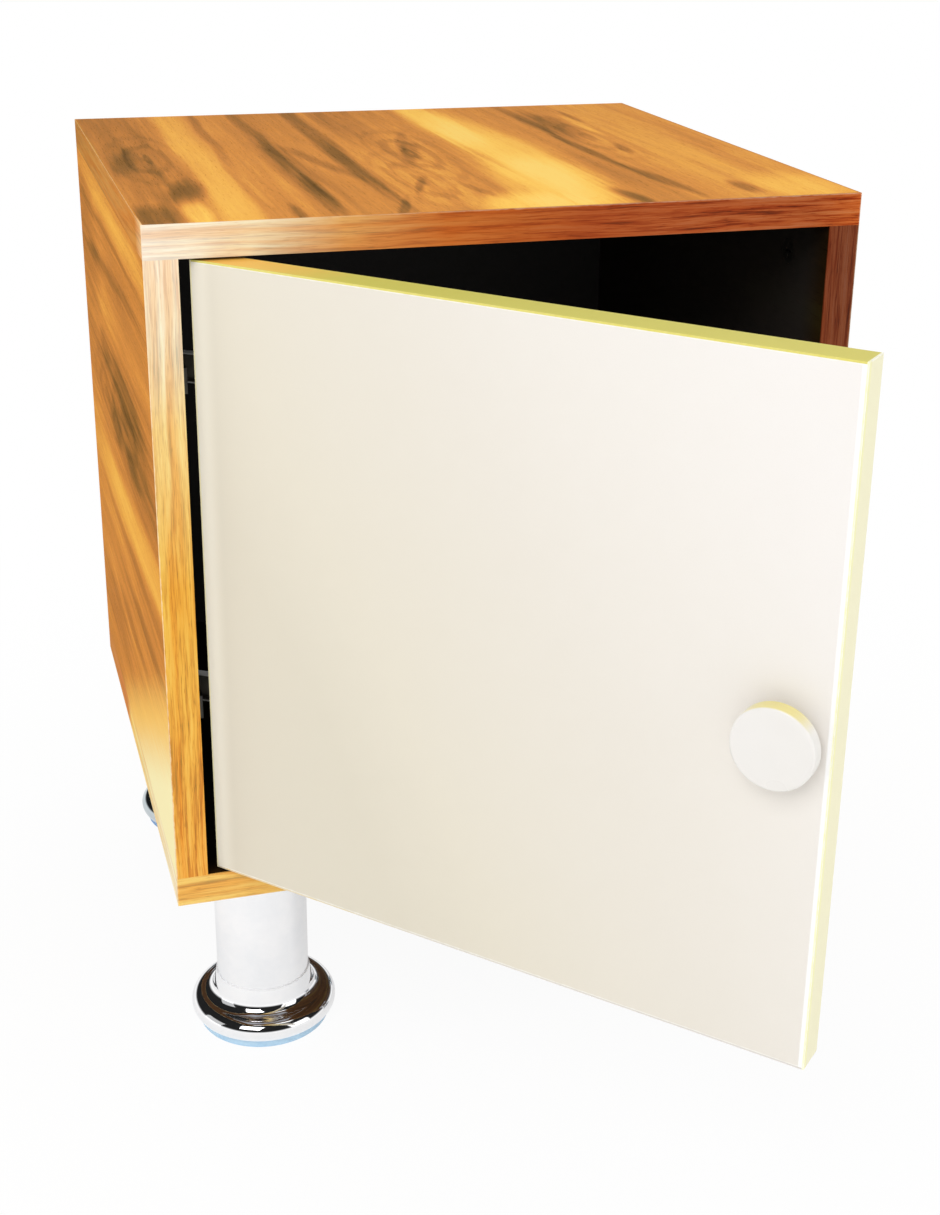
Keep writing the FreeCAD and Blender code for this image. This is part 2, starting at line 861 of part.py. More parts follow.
door_node("door_knob", moved(knob(), knob_x, 0, knob_z))
machine_screw_tip = dim("machine_screw_tip")
knob_screw = screw(dim("knob_screw_radius"), door_thick + dim("knob_screw_reach"), machine_screw_tip,
                   dim("knob_screw_head_radius"), dim("knob_screw_head"), "y")
door_node("knob_screw", moved(mirrored(knob_screw, Vector(0, 1, 0), 0), knob_x, door_thick, knob_z))


# ---------------------------------------------------------------- hinges

pin_radius, pin_gap = dim("pin_radius"), dim("pin_gap")
pin_hole = pin_radius + pin_gap
outer_eye = pin_hole + dim("outer_eye_wall")
inner_eye = pin_hole + dim("inner_eye_wall")
open_eye_hole = pin_radius + dim("open_eye_gap")
strip_half = dim("strip") / 2
arm_half, hollow_half = dim("arm_half"), dim("arm_hollow_half")
strap_half = dim("arm_strap_half")
side_face = -side_gap
base_top = side_face + dim("base_height")
strap_x = base_top + dim("arm_web") + dim("web_recess") - strap_half


def hinge_base():
    """The plate on the side board: a raised block with a wing above and below."""
    wing, spread = dim("wing_width") / 2, dim("wing_screw_offset")
    wings = padded(
        dim("wing_thick"),
        [(-wing, -spread), (wing, -spread), (wing, spread), (-wing, spread)],
        {0: (dim("wing_end_radius"), 1), 2: (dim("wing_end_radius"), 1)},
        [(0, -spread, pilot_radius), (0, spread, pilot_radius)],
        "YZ_Plane")
    block = box((side_face, dim("base_start"), -dim("base_half")),
                (dim("base_height"), dim("base_length"), 2 * dim("base_half")))
    holes = [rod((side_face + dim("wing_thick"), place, 0), dim("arm_screw_radius") + fit_gap,
                 dim("base_height"), "x")
             for place in (dim("side_screw_place"), dim("fixing_screw_place"))]
    return cut(fused([seat(wings, side_face, dim("wing_place"), 0), block]), holes)


def hinge_arm():
    """A cranked channel: two cheeks round the pins, and a web over its straight part."""
    crank, rear = dim("arm_crank"), dim("arm_rear")
    cheeks = cut(
        bent_strip([(strap_x, rear), (strap_x, crank), inner_pin, outer_pin], strap_half, arm_half),
        [box((side_face, 0, -hollow_half), (2 * inner_pin[0], rear + arm_half, 2 * hollow_half))])
    run_x, run_y = inner_pin[0] - strap_x, inner_pin[1] - crank
    run = root(run_x * run_x + run_y * run_y)
    aside = strap_half - dim("web_recess") - dim("arm_web") / 2
    normal_x, normal_y = -run_y / run * aside, run_x / run * aside
    clear = inner_eye + dim("arm_web")
    bend_y = crank + aside * (run + run_y) / run_x
    web = bent_strip([
        (strap_x + aside, rear),
        (strap_x + aside, bend_y),
        (inner_pin[0] + normal_x - run_x / run * clear, inner_pin[1] + normal_y - run_y / run * clear),
    ], dim("arm_web") / 2, arm_half)
    screw_holes = [rod((base_top, place, 0), dim("arm_screw_radius") + fit_gap,
                       dim("base_height"), "x")
                   for place in (dim("side_screw_place"), dim("fixing_screw_place"))]
    pins = [upright(*outer_pin, pin_radius, arm_half), upright(*inner_pin, pin_radius, arm_half)]
    return cut(fused([cheeks, web]), screw_holes + pins)


def stub_pins(x, y, length):
    """Two short pins, one above and one below, that leave the middle of the hinge free."""
    return [rod((x, y, dim("stub_start")), pin_radius, length),
            rod((x, y, -dim("stub_start") - length), pin_radius, length)]


def arm_pins():
    return group(stub_pins(*outer_pin, arm_half - dim("stub_start"))
                 + [upright(*inner_pin, pin_radius, arm_half)])


def outer_link():
    """A forked link: two cheeks from pin to pin, joined by a bridge beside the cup's pin."""
    knee = (dim("outer_knee_x"), dim("outer_knee_y"))
    bend = (dim("outer_bend_x"), dim("outer_bend_y"))
    strip = bent_strip([(0, 0), knee, bend, (link_x, link_y)], strip_half, dim("outer_half"))
    slot = dim("slot_half")
    eyes = [upright(0, 0, outer_eye, dim("barrel_half")),
            upright(link_x, link_y, outer_eye, dim("barrel_half"))]
    bridge_side = bend[0] + dim("strip")
    bridge_end = bend[1] + dim("bridge_length")
    tools = [
        box((bridge_side, bend[1] - outer_eye, -slot),
            (knee[0] + 2 * outer_eye - bridge_side, 2 * outer_eye - bend[1], 2 * slot)),
        box((bend[0] - 2 * outer_eye, bridge_end, -slot),
            (3 * outer_eye, link_y + 2 * outer_eye - bridge_end, 2 * slot)),
        upright(0, 0, pin_hole, arm_half),
        upright(link_x, link_y, pin_hole, arm_half),
    ]
    return cut(fused([strip] + eyes), tools)


def inner_link():
    """A single tongue that hooks round the cup's rim; its far eye is the open, loose pivot."""
    open_eye = (dim("open_eye_x"), dim("open_eye_y"))
    strip = bent_strip([
        (0, 0),
        (dim("inner_knee_x"), dim("inner_knee_y")),
        (dim("inner_bend_x"), dim("inner_bend_y")),
        open_eye,
    ], strip_half, dim("tongue_half"))
    eyes = [upright(0, 0, inner_eye, dim("barrel_half")),
            upright(*open_eye, open_eye_hole + dim("open_eye_wall"), dim("tongue_half"))]
    holes = [upright(0, 0, pin_hole, arm_half), upright(*open_eye, open_eye_hole, arm_half)]
    return cut(fused([strip] + eyes), holes)


cup_back = door_thick
cup_outer = cup_bore_radius - fit_gap
cup_inner = cup_outer - dim("cup_wall")
cup_base = cup_back - dim("cup_depth")
outer_pin_offset = cup_outer_pin[0] - dim("cup_from_edge")
inner_pin_offset = cup_inner_pin[0] - dim("cup_from_edge")


def hinge_cup():
    """A round cup with a rim on the door's back, two screw ears, and holes for its pins."""
    flange, thick = cup_bore_radius + dim("flange_overhang"), dim("flange_thick")
    pot = turned([
        (0, cup_base),
        (cup_outer, cup_base),
        (cup_outer, cup_back),
        (flange, cup_back),
        (flange, cup_back + thick),
        (cup_inner, cup_back + thick),
        (cup_inner, cup_base + dim("cup_floor")),
        (0, cup_base + dim("cup_floor")),
    ], along="y")
    inset, spread, ear = dim("flange_screw_inset"), dim("flange_screw_spread"), dim("flange_ear_radius")
    ears = [rod((inset, cup_back, side * spread), ear, thick, "y") for side in (-1, 1)]
    bridge = box((inset - ear, cup_back, -spread), (2 * ear, thick, 2 * spread))
    tools = [rod((0, cup_base + dim("cup_floor"), 0), cup_inner, dim("cup_depth") + thick, "y")]
    tools += [rod((inset, cup_back, side * spread), pilot_radius, thick, "y") for side in (-1, 1)]
    tools += [upright(outer_pin_offset, cup_outer_pin[1], pin_radius, cup_outer),
              upright(inner_pin_offset, cup_inner_pin[1], pin_radius, cup_outer)]
    return cut(fused([pot] + ears + [bridge]), tools)


def reach_in_wall(offset):
    """How far a cup pin at this distance from the cup's middle may go before it leaves the wall."""
    edge = pin_radius - offset
    return root(cup_outer * cup_outer - edge * edge) - fit_gap


def cup_pins():
    outer_reach = reach_in_wall(outer_pin_offset)
    inner_reach = reach_in_wall(inner_pin_offset)
    return group(stub_pins(outer_pin_offset, cup_outer_pin[1], outer_reach - dim("stub_start"))
                 + [upright(inner_pin_offset, cup_inner_pin[1], pin_radius, inner_reach)])


def wood_screw(along):
    return screw(dim("wood_screw_radius"), dim("wood_screw_length"), dim("wood_screw_tip"),
                 dim("wood_screw_head_radius"), dim("wood_screw_head"), along)


def base_screws():
    return group([
        moved(mirrored(wood_screw("x"), Vector(1, 0, 0), 0), side_face + dim("wing_thick"),
              dim("wing_place"), side * dim("wing_screw_offset"))
        for side in (-1, 1)
    ])


def adjusting_screws():
    top = base_top + dim("arm_web")
    return group([
        moved(mirrored(screw(dim("arm_screw_radius"), dim("arm_web") + dim("arm_screw_reach"),
                             machine_screw_tip, dim("arm_screw_head_radius"),
                             dim("arm_screw_head"), "x"),
                       Vector(1, 0, 0), 0), top, place, 0)
        for place in (dim("side_screw_place"), dim("fixing_screw_place"))
    ])


def cup_screws():
    return group([
        moved(mirrored(wood_screw("y"), Vector(0, 1, 0), 0), dim("flange_screw_inset"),
              cup_back + dim("flange_thick"), side * dim("flange_screw_spread"))
        for side in (-1, 1)
    ])


def at_both_hinges(thing, x=0):
    return group([moved(thing, x, 0, height) for height in hinge_heights.values()])


base, arm, cup = hinge_base(), hinge_arm(), hinge_cup()
outer, inner = outer_link(), inner_link()
for place, height in hinge_heights.items():
    node(f"{place}_hinge_plate", base, shut_x, shut_y, height)
    node(f"{place}_hinge_arm", arm, shut_x, shut_y, height)
    node(f"{place}_outer_link", outer, shut_x + outer_pin[0], shut_y + outer_pin[1], height, outer_angle)
    node(f"{place}_inner_link", inner, shut_x + inner_pin[0], shut_y + inner_pin[1], height, inner_angle)
    door_node(f"{place}_hinge_cup", moved(cup, dim("cup_from_edge"), 0, height))

node("hinge_plate_screws", at_both_hinges(base_screws()), shut_x, shut_y)
node("hinge_adjusting_screws", at_both_hinges(adjusting_screws()), shut_x, shut_y)
node("hinge_arm_pins", at_both_hinges(arm_pins()), shut_x, shut_y)
door_node("hinge_cup_screws", at_both_hinges(cup_screws(), dim("cup_from_edge")))
door_node("hinge_cup_pins", at_both_hinges(cup_pins(), dim("cup_from_edge")))


# ---------------------------------------------------------------- checks and export

doc.recompute()
failed = [item.Name for item in doc.Objects if "Invalid" in item.State or "Error" in item.State]
if failed:
    raise RuntimeError(f"objects that failed: {failed}")
for label, piece in nodes.items():
    if piece.Shape.isNull() or not piece.Shape.isValid():
        raise RuntimeError(f"{label} has no valid shape")

os.makedirs("parts", exist_ok=True)
for label, piece in nodes.items():
    piece.Shape.exportStep(f"parts/{label}.step")
print(f"{len(nodes)} nodes written")
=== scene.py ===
"""Looks of the storage side table: walnut-look laminate case, cream door and knob, chrome legs.

Every CAD node keeps its own mesh and gets a procedural material. Lengths are in metres in the
model's frame, places on the boards are in millimetres from the case's lower front left corner,
and noise is scaled in cells a metre.
"""

import math

import bpy
from mathutils import Matrix, Vector


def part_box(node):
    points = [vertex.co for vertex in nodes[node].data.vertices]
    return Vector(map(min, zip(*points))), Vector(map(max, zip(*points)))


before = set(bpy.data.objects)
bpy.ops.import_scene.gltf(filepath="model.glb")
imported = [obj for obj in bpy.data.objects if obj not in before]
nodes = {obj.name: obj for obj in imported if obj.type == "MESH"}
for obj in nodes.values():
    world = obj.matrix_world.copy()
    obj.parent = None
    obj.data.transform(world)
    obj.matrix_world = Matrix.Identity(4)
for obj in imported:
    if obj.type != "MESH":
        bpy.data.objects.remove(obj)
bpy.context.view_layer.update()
scene = bpy.context.scene
MM = 0.001
X, Y, Z = range(3)
LOW_END, HIGH_END = range(2)


# ---------------------------------------------------------------- places read from the frame

case_low = Vector(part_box("bottom_panel_front_band")[0])
case_high = Vector((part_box("top_panel_front_band")[1].x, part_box("top_panel_right_band")[1].y,
                    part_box("top_panel_front_band")[1].z))
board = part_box("bottom_panel_front_band")[1].z - case_low.z
inner_left = case_low.x + board
inner_right = case_high.x - board
inner_bottom = case_low.z + board
inner_top = case_high.z - board
foot_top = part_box("front_left_leg_foot")[1].z
DOOR_AJAR = math.radians(47)  # how far open the door stands at rest
FACE_SLACK = 0.2 * MM  # how far off a face a point may lie and still count as on it


# ---------------------------------------------------------------- node helpers

def srgb(red, green, blue):
    """A colour written as 0-255 display values, as the linear values that the nodes take."""
    linear = []
    for value in (red, green, blue):
        share = value / 255
        linear.append(share / 12.92 if share <= 0.04045 else ((share + 0.055) / 1.055) ** 2.4)
    return (*linear, 1.0)


def add(tree, kind, inputs=None, **settings):
    """Adds a node; inputs maps socket names or numbers to values or to other nodes' outputs."""
    made = tree.nodes.new(kind)
    for name, value in settings.items():
        setattr(made, name, value)
    for socket, value in (inputs or {}).items():
        if isinstance(value, bpy.types.NodeSocket):
            tree.links.new(value, made.inputs[socket])
        else:
            made.inputs[socket].default_value = value
    return made


def calc(tree, operation, *values, clamp=False):
    """One step of arithmetic on numbers and sockets."""
    inputs = dict(enumerate(values))
    return add(tree, "ShaderNodeMath", inputs, operation=operation, use_clamp=clamp).outputs[0]


def total(tree, values):
    """The sum of a list of values."""
    result = values[0]
    for value in values[1:]:
        result = calc(tree, "ADD", result, value)
    return result


def weighted(tree, base, *pairs):
    """A base value plus each value times its weight."""
    result = base
    for value, weight in pairs:
        result = calc(tree, "MULTIPLY_ADD", value, weight, result)
    return result


def between(tree, share, low, high):
    """A share of 0 to 1 turned into low to high."""
    return calc(tree, "MULTIPLY_ADD", share, high - low, low)


def span(tree, value, low, high, to_low=0.0, to_high=1.0, kind="LINEAR"):
    """A straight change from to_low at low to to_high at high, held beyond both."""
    inputs = {"Value": value, "From Min": low, "From Max": high,
              "To Min": to_low, "To Max": to_high}
    return add(tree, "ShaderNodeMapRange", inputs, interpolation_type=kind).outputs[0]


def fade(tree, value, low, high, to_low=0.0, to_high=1.0):
    """The same change as span, with a smooth start and end."""
    return span(tree, value, low, high, to_low, to_high, kind="SMOOTHSTEP")


def noise(tree, point, cells=1.0, detail=2.0, roughness=0.5):
    """Noise from 0 to 1 round a middle of 0.5, with the given cells a metre."""
    inputs = {"Vector": point, "Scale": cells, "Detail": detail, "Roughness": roughness}
    return add(tree, "ShaderNodeTexNoise", inputs).outputs[0]


def long_noise(tree, point, cells, shift=(0.0, 0.0, 0.0), detail=2.0, roughness=0.5):
    """Noise with its own cells a metre along each axis, moved by a shift in cells."""
    moved = add(tree, "ShaderNodeVectorMath", {0: point, 1: cells, 2: shift},
                operation="MULTIPLY_ADD").outputs[0]
    return noise(tree, moved, detail=detail, roughness=roughness)


def mixed(tree, factor, first, second, blend="MIX"):
    """Two colours mixed by a factor."""
    made = add(tree, "ShaderNodeMix", {"Factor": factor, "A": first, "B": second},
               data_type="RGBA", blend_type=blend)
    return made.outputs["Result"]


def ramp(tree, share, stops):
    """The colour at a share of a ramp with stops (position, colour)."""
    made = add(tree, "ShaderNodeValToRGB", {"Fac": share})
    while len(made.color_ramp.elements) < len(stops):
        made.color_ramp.elements.new(0.5)
    for element, (position, colour) in zip(made.color_ramp.elements, stops):
        element.position = position
        element.color = colour
    return made.outputs["Color"]


def split(tree, vector):
    """The x, y and z of a vector, as a list."""
    return list(add(tree, "ShaderNodeSeparateXYZ", {0: vector}).outputs)


def joined(tree, x, y, z):
    """A vector made of three values."""
    return add(tree, "ShaderNodeCombineXYZ", {0: x, 1: y, 2: z}).outputs[0]


def group(name, inputs, outputs, fill):
    """A node group of floats: fill(tree, input sockets by name) returns its output sockets."""
    made = bpy.data.node_groups.new(name, "ShaderNodeTree")
    for label in inputs:
        made.interface.new_socket(label, in_out="INPUT", socket_type="NodeSocketFloat")
    for label in outputs:
        made.interface.new_socket(label, in_out="OUTPUT", socket_type="NodeSocketFloat")
    entry = made.nodes.new("NodeGroupInput")
    result = made.nodes.new("NodeGroupOutput")
    for label, socket in zip(outputs, fill(made, entry.outputs)):
        made.links.new(socket, result.inputs[label])
    return made


# ---------------------------------------------------------------- material helpers

def new_material(name):
    """An empty material and its node tree."""
    made = bpy.data.materials.new(name)
    made.use_nodes = True
    made.node_tree.nodes.clear()
    return made, made.node_tree


def finish_surface(tree, colour, roughness, height, depth, strength, specular=0.5, metallic=0.0):
    """Ends a material in a Principled shader with a bump of the given depth in metres."""
    bump = add(tree, "ShaderNodeBump", {"Height": height, "Distance": depth, "Strength": strength})
    inputs = {"Base Color": colour, "Roughness": roughness, "Specular IOR Level": specular,
              "Metallic": metallic, "Normal": bump.outputs[0]}
    shader = add(tree, "ShaderNodeBsdfPrincipled", inputs)
    add(tree, "ShaderNodeOutputMaterial", {"Surface": shader.outputs[0]})


def assign(material, *labels):
    """Gives a material to every slot of the named nodes."""
    for label in labels:
        slots = nodes[label].data.materials
        if not slots:
            slots.append(material)
        for number in range(len(slots)):
            nodes[label].material_slots[number].material = material


def place(tree):
    """The surface point in the model's frame."""
    return add(tree, "ShaderNodeTexCoord").outputs["Object"]


def board_place(tree, across_axis):
    """The surface point from the case's corner: across the grain, along it and through the board."""
    values = split(tree, place(tree))
    through_axis = X + Z - across_axis
    return joined(tree, *[calc(tree, "SUBTRACT", values[axis], case_low[axis])
                          for axis in (across_axis, Y, through_axis)])


def door_place(tree):
    """The surface point turned back to the shut door, so that x runs along the door."""
    inputs = {"Vector": place(tree), "Angle": DOOR_AJAR}
    return add(tree, "ShaderNodeVectorRotate", inputs, rotation_type="Z_AXIS").outputs[0]


def door_box(node):
    """The corners of a door node's box after the same turn as door_place."""
    back = Matrix.Rotation(DOOR_AJAR, 3, "Z")
    points = [back @ vertex.co for vertex in nodes[node].data.vertices]
    low = Vector([min(point[axis] for point in points) for axis in (X, Y, Z)])
    high = Vector([max(point[axis] for point in points) for axis in (X, Y, Z)])
    return low, high


def edge_distance(tree, point, low, high):
    """How far a point on the surface of a box is from the nearest edge of that box.

    Of its distances to the three pairs of sides the least is zero, and the next leads to the edge.
    """
    reaches = []
    for axis, value in enumerate(split(tree, point)):
        from_low = calc(tree, "SUBTRACT", value, low[axis])
        to_high = calc(tree, "SUBTRACT", high[axis], value)
        reaches.append(calc(tree, "MINIMUM", from_low, to_high))
    least = calc(tree, "MINIMUM", calc(tree, "MINIMUM", reaches[0], reaches[1]), reaches[2])
    most = calc(tree, "MAXIMUM", calc(tree, "MAXIMUM", reaches[0], reaches[1]), reaches[2])
    return calc(tree, "SUBTRACT", calc(tree, "SUBTRACT", total(tree, reaches), least), most)


def edge_wear_and_highlight(tree, point, low, high, reach):
    """1 along the edges of a box-shaped piece, broken up by noise, 0 elsewhere; it marks edges paled
    by use and by a painted highlight.
    """
    distance = edge_distance(tree, point, low, high)
    chips = noise(tree, point, cells=220.0, detail=3.0)
    ragged = between(tree, chips, -0.8 * reach, 0.8 * reach)
    return fade(tree, calc(tree, "ADD", distance, ragged), reach, 0.0)


# ---------------------------------------------------------------- figure of the laminate

GRAIN_INPUTS = ("Across", "Along", "Fray")
OVAL_INPUTS = ("Centre across", "Centre along", "Half width", "Half length", "Tilt", "Strength")
STREAK_BORDER = (1.42, 0.4)  # radii between which a streak fades in
SWIRL_BORDER = (2.6, 0.4)  # radii between which a swirl's rings fade in
RING_WAVE = 9.0  # radians of the rings' wave in one radius
RING_BORDER = (-0.2, 0.9)  # heights of that wave between which a ring darkens


def oval_radius(tree, sockets):
    """How far out of a tilted oval a point lies, 1 on the outline, frayed by the grain."""
    across = calc(tree, "SUBTRACT", sockets["Across"], sockets["Centre across"])
    along = calc(tree, "SUBTRACT", sockets["Along"], sockets["Centre along"])
    lean = calc(tree, "MULTIPLY", along, sockets["Tilt"])
    share_across = calc(tree, "DIVIDE", calc(tree, "SUBTRACT", across, lean), sockets["Half width"])
    share_along = calc(tree, "DIVIDE", along, sockets["Half length"])
    squares = calc(tree, "ADD", calc(tree, "MULTIPLY", share_across, share_across),
                   calc(tree, "MULTIPLY", share_along, share_along))
    return calc(tree, "ADD", calc(tree, "SQRT", squares), sockets["Fray"])


def streak_shape(tree, sockets):
    """The strength inside a long thin oval, 0 outside, with a soft and fibrous border."""
    inside = fade(tree, oval_radius(tree, sockets), *STREAK_BORDER)
    return [calc(tree, "MULTIPLY", inside, sockets["Strength"])]


def swirl_shape(tree, sockets):
    """The strength in rings round a knot that die away from it."""
    radius = oval_radius(tree, sockets)
    rings = calc(tree, "SINE", calc(tree, "MULTIPLY", radius, RING_WAVE))
    dark = fade(tree, rings, *RING_BORDER)
    near = fade(tree, radius, *SWIRL_BORDER)
    return [calc(tree, "MULTIPLY", calc(tree, "MULTIPLY", dark, near), sockets["Strength"])]


streak_group = group("streak", GRAIN_INPUTS + OVAL_INPUTS, ["Tone"], streak_shape)
swirl_group = group("swirl", GRAIN_INPUTS + OVAL_INPUTS, ["Tone"], swirl_shape)


def placed(tree, shape, grain, across, along, half_width, half_length, tilt, strength):
    """One streak or swirl of the figure; its place and size are in millimetres."""
    made = add(tree, "ShaderNodeGroup", node_tree=shape)
    for label, value in zip(GRAIN_INPUTS, grain):
        tree.links.new(value, made.inputs[label])
    values = (across * MM, along * MM, half_width * MM, half_length * MM, tilt, strength)
    for label, value in zip(OVAL_INPUTS, values):
        made.inputs[label].default_value = value
    return made.outputs["Tone"]


# Noise layers: cells a metre across the grain, along it and through the board; on which of the
# three the seed shifts them; detail; roughness
GRAIN_LAYERS = {
    "slow": ((16, 4, 4), (1, 1, 0), 2.0, 0.5),
    "quick": ((70, 14, 10), (1, 0, 1), 2.0, 0.5),
    "fibres": ((900, 26, 26), (1, 1, 1), 3.0, 0.6),
    "threads": ((260, 7, 7), (0, 1, 0), 3.0, 0.6),
    "pores": ((2200, 90, 90), (1, 0, 0), 1.0, 0.5),
    "grit": ((900, 420, 420), (0, 0, 1), 3.0, 0.75),
}
VEIN_CELLS = (90, 3, 1)
BENDS = {"slow": 6 * MM, "quick": 2.5 * MM}  # how far a layer bends the grain to either side
FRAY = 0.4  # how far the threads move a streak's border in or out, in radii
# How far each layer moves the tone to either side
TONE_REACHES = {"veins": 0.17, "slow": 0.11, "threads": 0.08, "fibres": 0.08, "grit": 0.10}
PORE_BORDER = (0.62, 0.74)  # noise values between which a pore opens
PORE_TONE = -0.13


def walnut_figure(tree, point, base, streaks, swirls, seed):
    """Tone, height, fibres and pores of the laminate at a point from board_place."""
    layers = {}
    for label, (cells, shifted, detail, roughness) in GRAIN_LAYERS.items():
        shift = [seed * share for share in shifted]
        layers[label] = long_noise(tree, point, cells, shift, detail, roughness)
    across, along, _ = split(tree, point)
    bend = total(tree, [between(tree, layers[label], -reach, reach)
                        for label, reach in BENDS.items()])
    bent = calc(tree, "ADD", across, bend)
    layers["veins"] = long_noise(tree, joined(tree, bent, along, 0.0), VEIN_CELLS, (0, 0, seed),
                                 detail=3.0, roughness=0.6)
    grain = (bent, along, between(tree, layers["threads"], -FRAY, FRAY))
    parts = [placed(tree, streak_group, grain, *streak) for streak in streaks]
    parts += [placed(tree, swirl_group, grain, *swirl) for swirl in swirls]
    parts += [between(tree, layers[label], -reach, reach) for label, reach in TONE_REACHES.items()]
    pores = fade(tree, layers["pores"], *PORE_BORDER)
    parts.append(calc(tree, "MULTIPLY", pores, PORE_TONE))
    tone = calc(tree, "ADD", total(tree, parts), base, clamp=True)
    height = calc(tree, "SUBTRACT", calc(tree, "MULTIPLY", layers["fibres"], 0.5), pores)
    return tone, height, layers["fibres"], pores


# Each streak and swirl: its centre across the grain and along it, half its width and half its
# length, all in mm; its tilt, in mm across for one along; what it adds to the tone
TOP_STREAKS = [
    # light bands
    (58, 200, 12, 330, 0.015, 0.19),
    (236, 320, 15, 130, 0.0, 0.34),
    (250, 180, 23, 150, 0.0, 0.30),
    (243, 70, 27, 90, 0.0, 0.32),
    (212, 4, 28, 38, 0.0, 0.34),
    (35, 22, 7, 44, 0.0, 0.32),
    (380, 30, 26, 42, 0.0, 0.16),
    (331, 280, 3.5, 45, 0.0, 0.16),
    (370, 180, 60, 330, 0.0, 0.08),
    (170, 90, 30, 130, 0.0, 0.05),
    # dark streaks
    (77, 300, 3.5, 130, 0.02, -0.16),
    (70, 120, 2.5, 90, 0.02, -0.09),
    (106, 290, 5, 150, 0.0, -0.18),
    (105, 160, 8, 110, 0.0, -0.18),
    (106, 56, 4.5, 60, 0.0, -0.22),
    (125, 172, 5, 60, -0.18, -0.16),
    (144, 250, 6, 210, 0.01, -0.24),
    (143, 150, 8, 110, 0.0, -0.10),
    (178, 330, 26, 90, 0.0, -0.08),
    (190, 190, 6, 42, 0.23, -0.22),
    (196, 235, 4, 45, 0.23, -0.14),
    (167, 80, 3.5, 24, 0.35, -0.22),
    (160, 55, 3, 30, 0.35, -0.05),
    (195, 58, 3.5, 26, -0.25, -0.14),
    (311, 280, 13, 62, 0.0, -0.20),
    (300, 300, 4, 90, 0.0, -0.14),
    (299, 180, 4, 70, 0.0, -0.22),
    (306, 70, 5.5, 50, -0.1, -0.26),
    (325, 176, 4, 20, 0.1, -0.22),
    (337, 316, 3, 26, 0.0, -0.16),
    (345, 34, 6, 20, 0.0, -0.26),
    (271, 20, 5.5, 26, -0.12, -0.30),
    (84, 16, 3.5, 24, 0.0, -0.20),
    (138, 14, 3, 28, 0.3, -0.20),
    (20, 230, 28, 280, 0.0, -0.13),
    (15, 190, 9, 46, 0.1, -0.15),
    (28, 160, 4, 46, 0.0, -0.12),
    (36, 85, 11, 36, 0.15, -0.25),
    (12, 20, 17, 32, 0.0, -0.23),
]
TOP_SWIRLS = [
    (28, 200, 14, 56, 0.0, -0.09),
    (190, 185, 14, 60, 0.0, -0.12),
    (172, 96, 16, 60, 0.0, -0.10),
    (318, 225, 12, 60, 0.0, -0.08),
]
SIDE_STREAKS = [
    # light bands and faint wide ones
    (366, 60, 12, 210, 0.01, 0.13),
    (369, 260, 5, 170, 0.0, 0.06),
    (187, 90, 18, 260, -0.04, 0.20),
    (320, 60, 70, 200, 0.0, -0.05),
    (300, 160, 16, 260, 0.0, 0.05),
    # dark streaks
    (352, 200, 3, 220, 0.0, -0.12),
    (327, 190, 5, 160, -0.05, -0.15),
    (267, 140, 17, 84, 0.0, -0.16),
    (270, 248, 10, 32, 0.0, -0.14),
    (231, 203, 12, 36, 0.0, -0.15),
    (229, 114, 9, 36, 0.0, -0.10),
    (240, 60, 24, 120, 0.0, -0.10),
    (244, 180, 38, 240, 0.0, -0.10),
    (160, 155, 5, 200, 0.0, -0.11),
    (132, 90, 6, 130, -0.02, -0.12),
    (101, 175, 7, 90, 0.0, -0.16),
    (70, 280, 20, 110, 0.0, -0.08),
    (320, 335, 44, 75, 0.0, -0.15),
]
SIDE_SWIRLS = [
    (248, 150, 18, 70, 0.0, -0.07),
    (236, 255, 14, 50, 0.0, -0.06),
]
PLAIN_STREAKS = [
    # light bands
    (70, 210, 14, 320, 0.02, 0.34),
    (210, 150, 22, 300, -0.04, 0.36),
    (330, 200, 12, 260, 0.03, 0.30),
    # dark streaks
    (40, 180, 5, 240, 0.0, -0.24),
    (118, 230, 6, 210, 0.0, -0.28),
    (150, 120, 8, 120, 0.05, -0.20),
    (262, 210, 6, 190, 0.0, -0.25),
    (292, 110, 9, 100, -0.06, -0.18),
    (364, 180, 6, 230, 0.0, -0.21),
]
PLAIN_SWIRLS = [
    (160, 240, 13, 62, 0.0, -0.17),
    (300, 140, 11, 54, 0.0, -0.14),
]


# ---------------------------------------------------------------- boards of the case

WALNUT_TONES = [
    (0.00, srgb(100, 70, 26)),
    (0.18, srgb(148, 102, 46)),
    (0.36, srgb(194, 126, 58)),
    (0.50, srgb(221, 146, 66)),
    (0.66, srgb(244, 178, 78)),
    (0.82, srgb(255, 202, 92)),
    (1.00, srgb(255, 214, 112)),
]
WALNUT_BASE = 0.47  # the tone to which the figure adds
WALNUT_GLOSS = 0.03  # specular level of the boards
NO_GLOSS = 0.0005  # the same on the left of the case, which shows no gloss in the photograph
# The case's edges pale by use and by a painted highlight
WALNUT_WORN_HIGHLIT = srgb(232, 184, 116)
WORN_HIGHLIT_SHARE = 0.35  # how far the boards' edges pale to that colour
WALNUT_WORN_HIGHLIT_REACH = 0.9 * MM  # how far from an edge
UNDERSIDE_SHADE_FOIL = srgb(44, 38, 34)  # the dark foil under the case, a painted shade that the chrome reflects
UNDERSIDE_SHADE_FOIL_GRAIN = 0.12  # how much of the laminate shows in it

SHADE_NEAR = srgb(54, 62, 76)  # tints the inside at its front edge
SHADE_FAR = {X: srgb(46, 43, 41), Z: srgb(18, 16, 14)}  # the inside of the upright and flat boards
SHADE_GRAIN = 0.15  # how much of the tinted laminate shows in it
SHADE_DEPTH = 30 * MM  # how far in from the front edge it is wholly dark

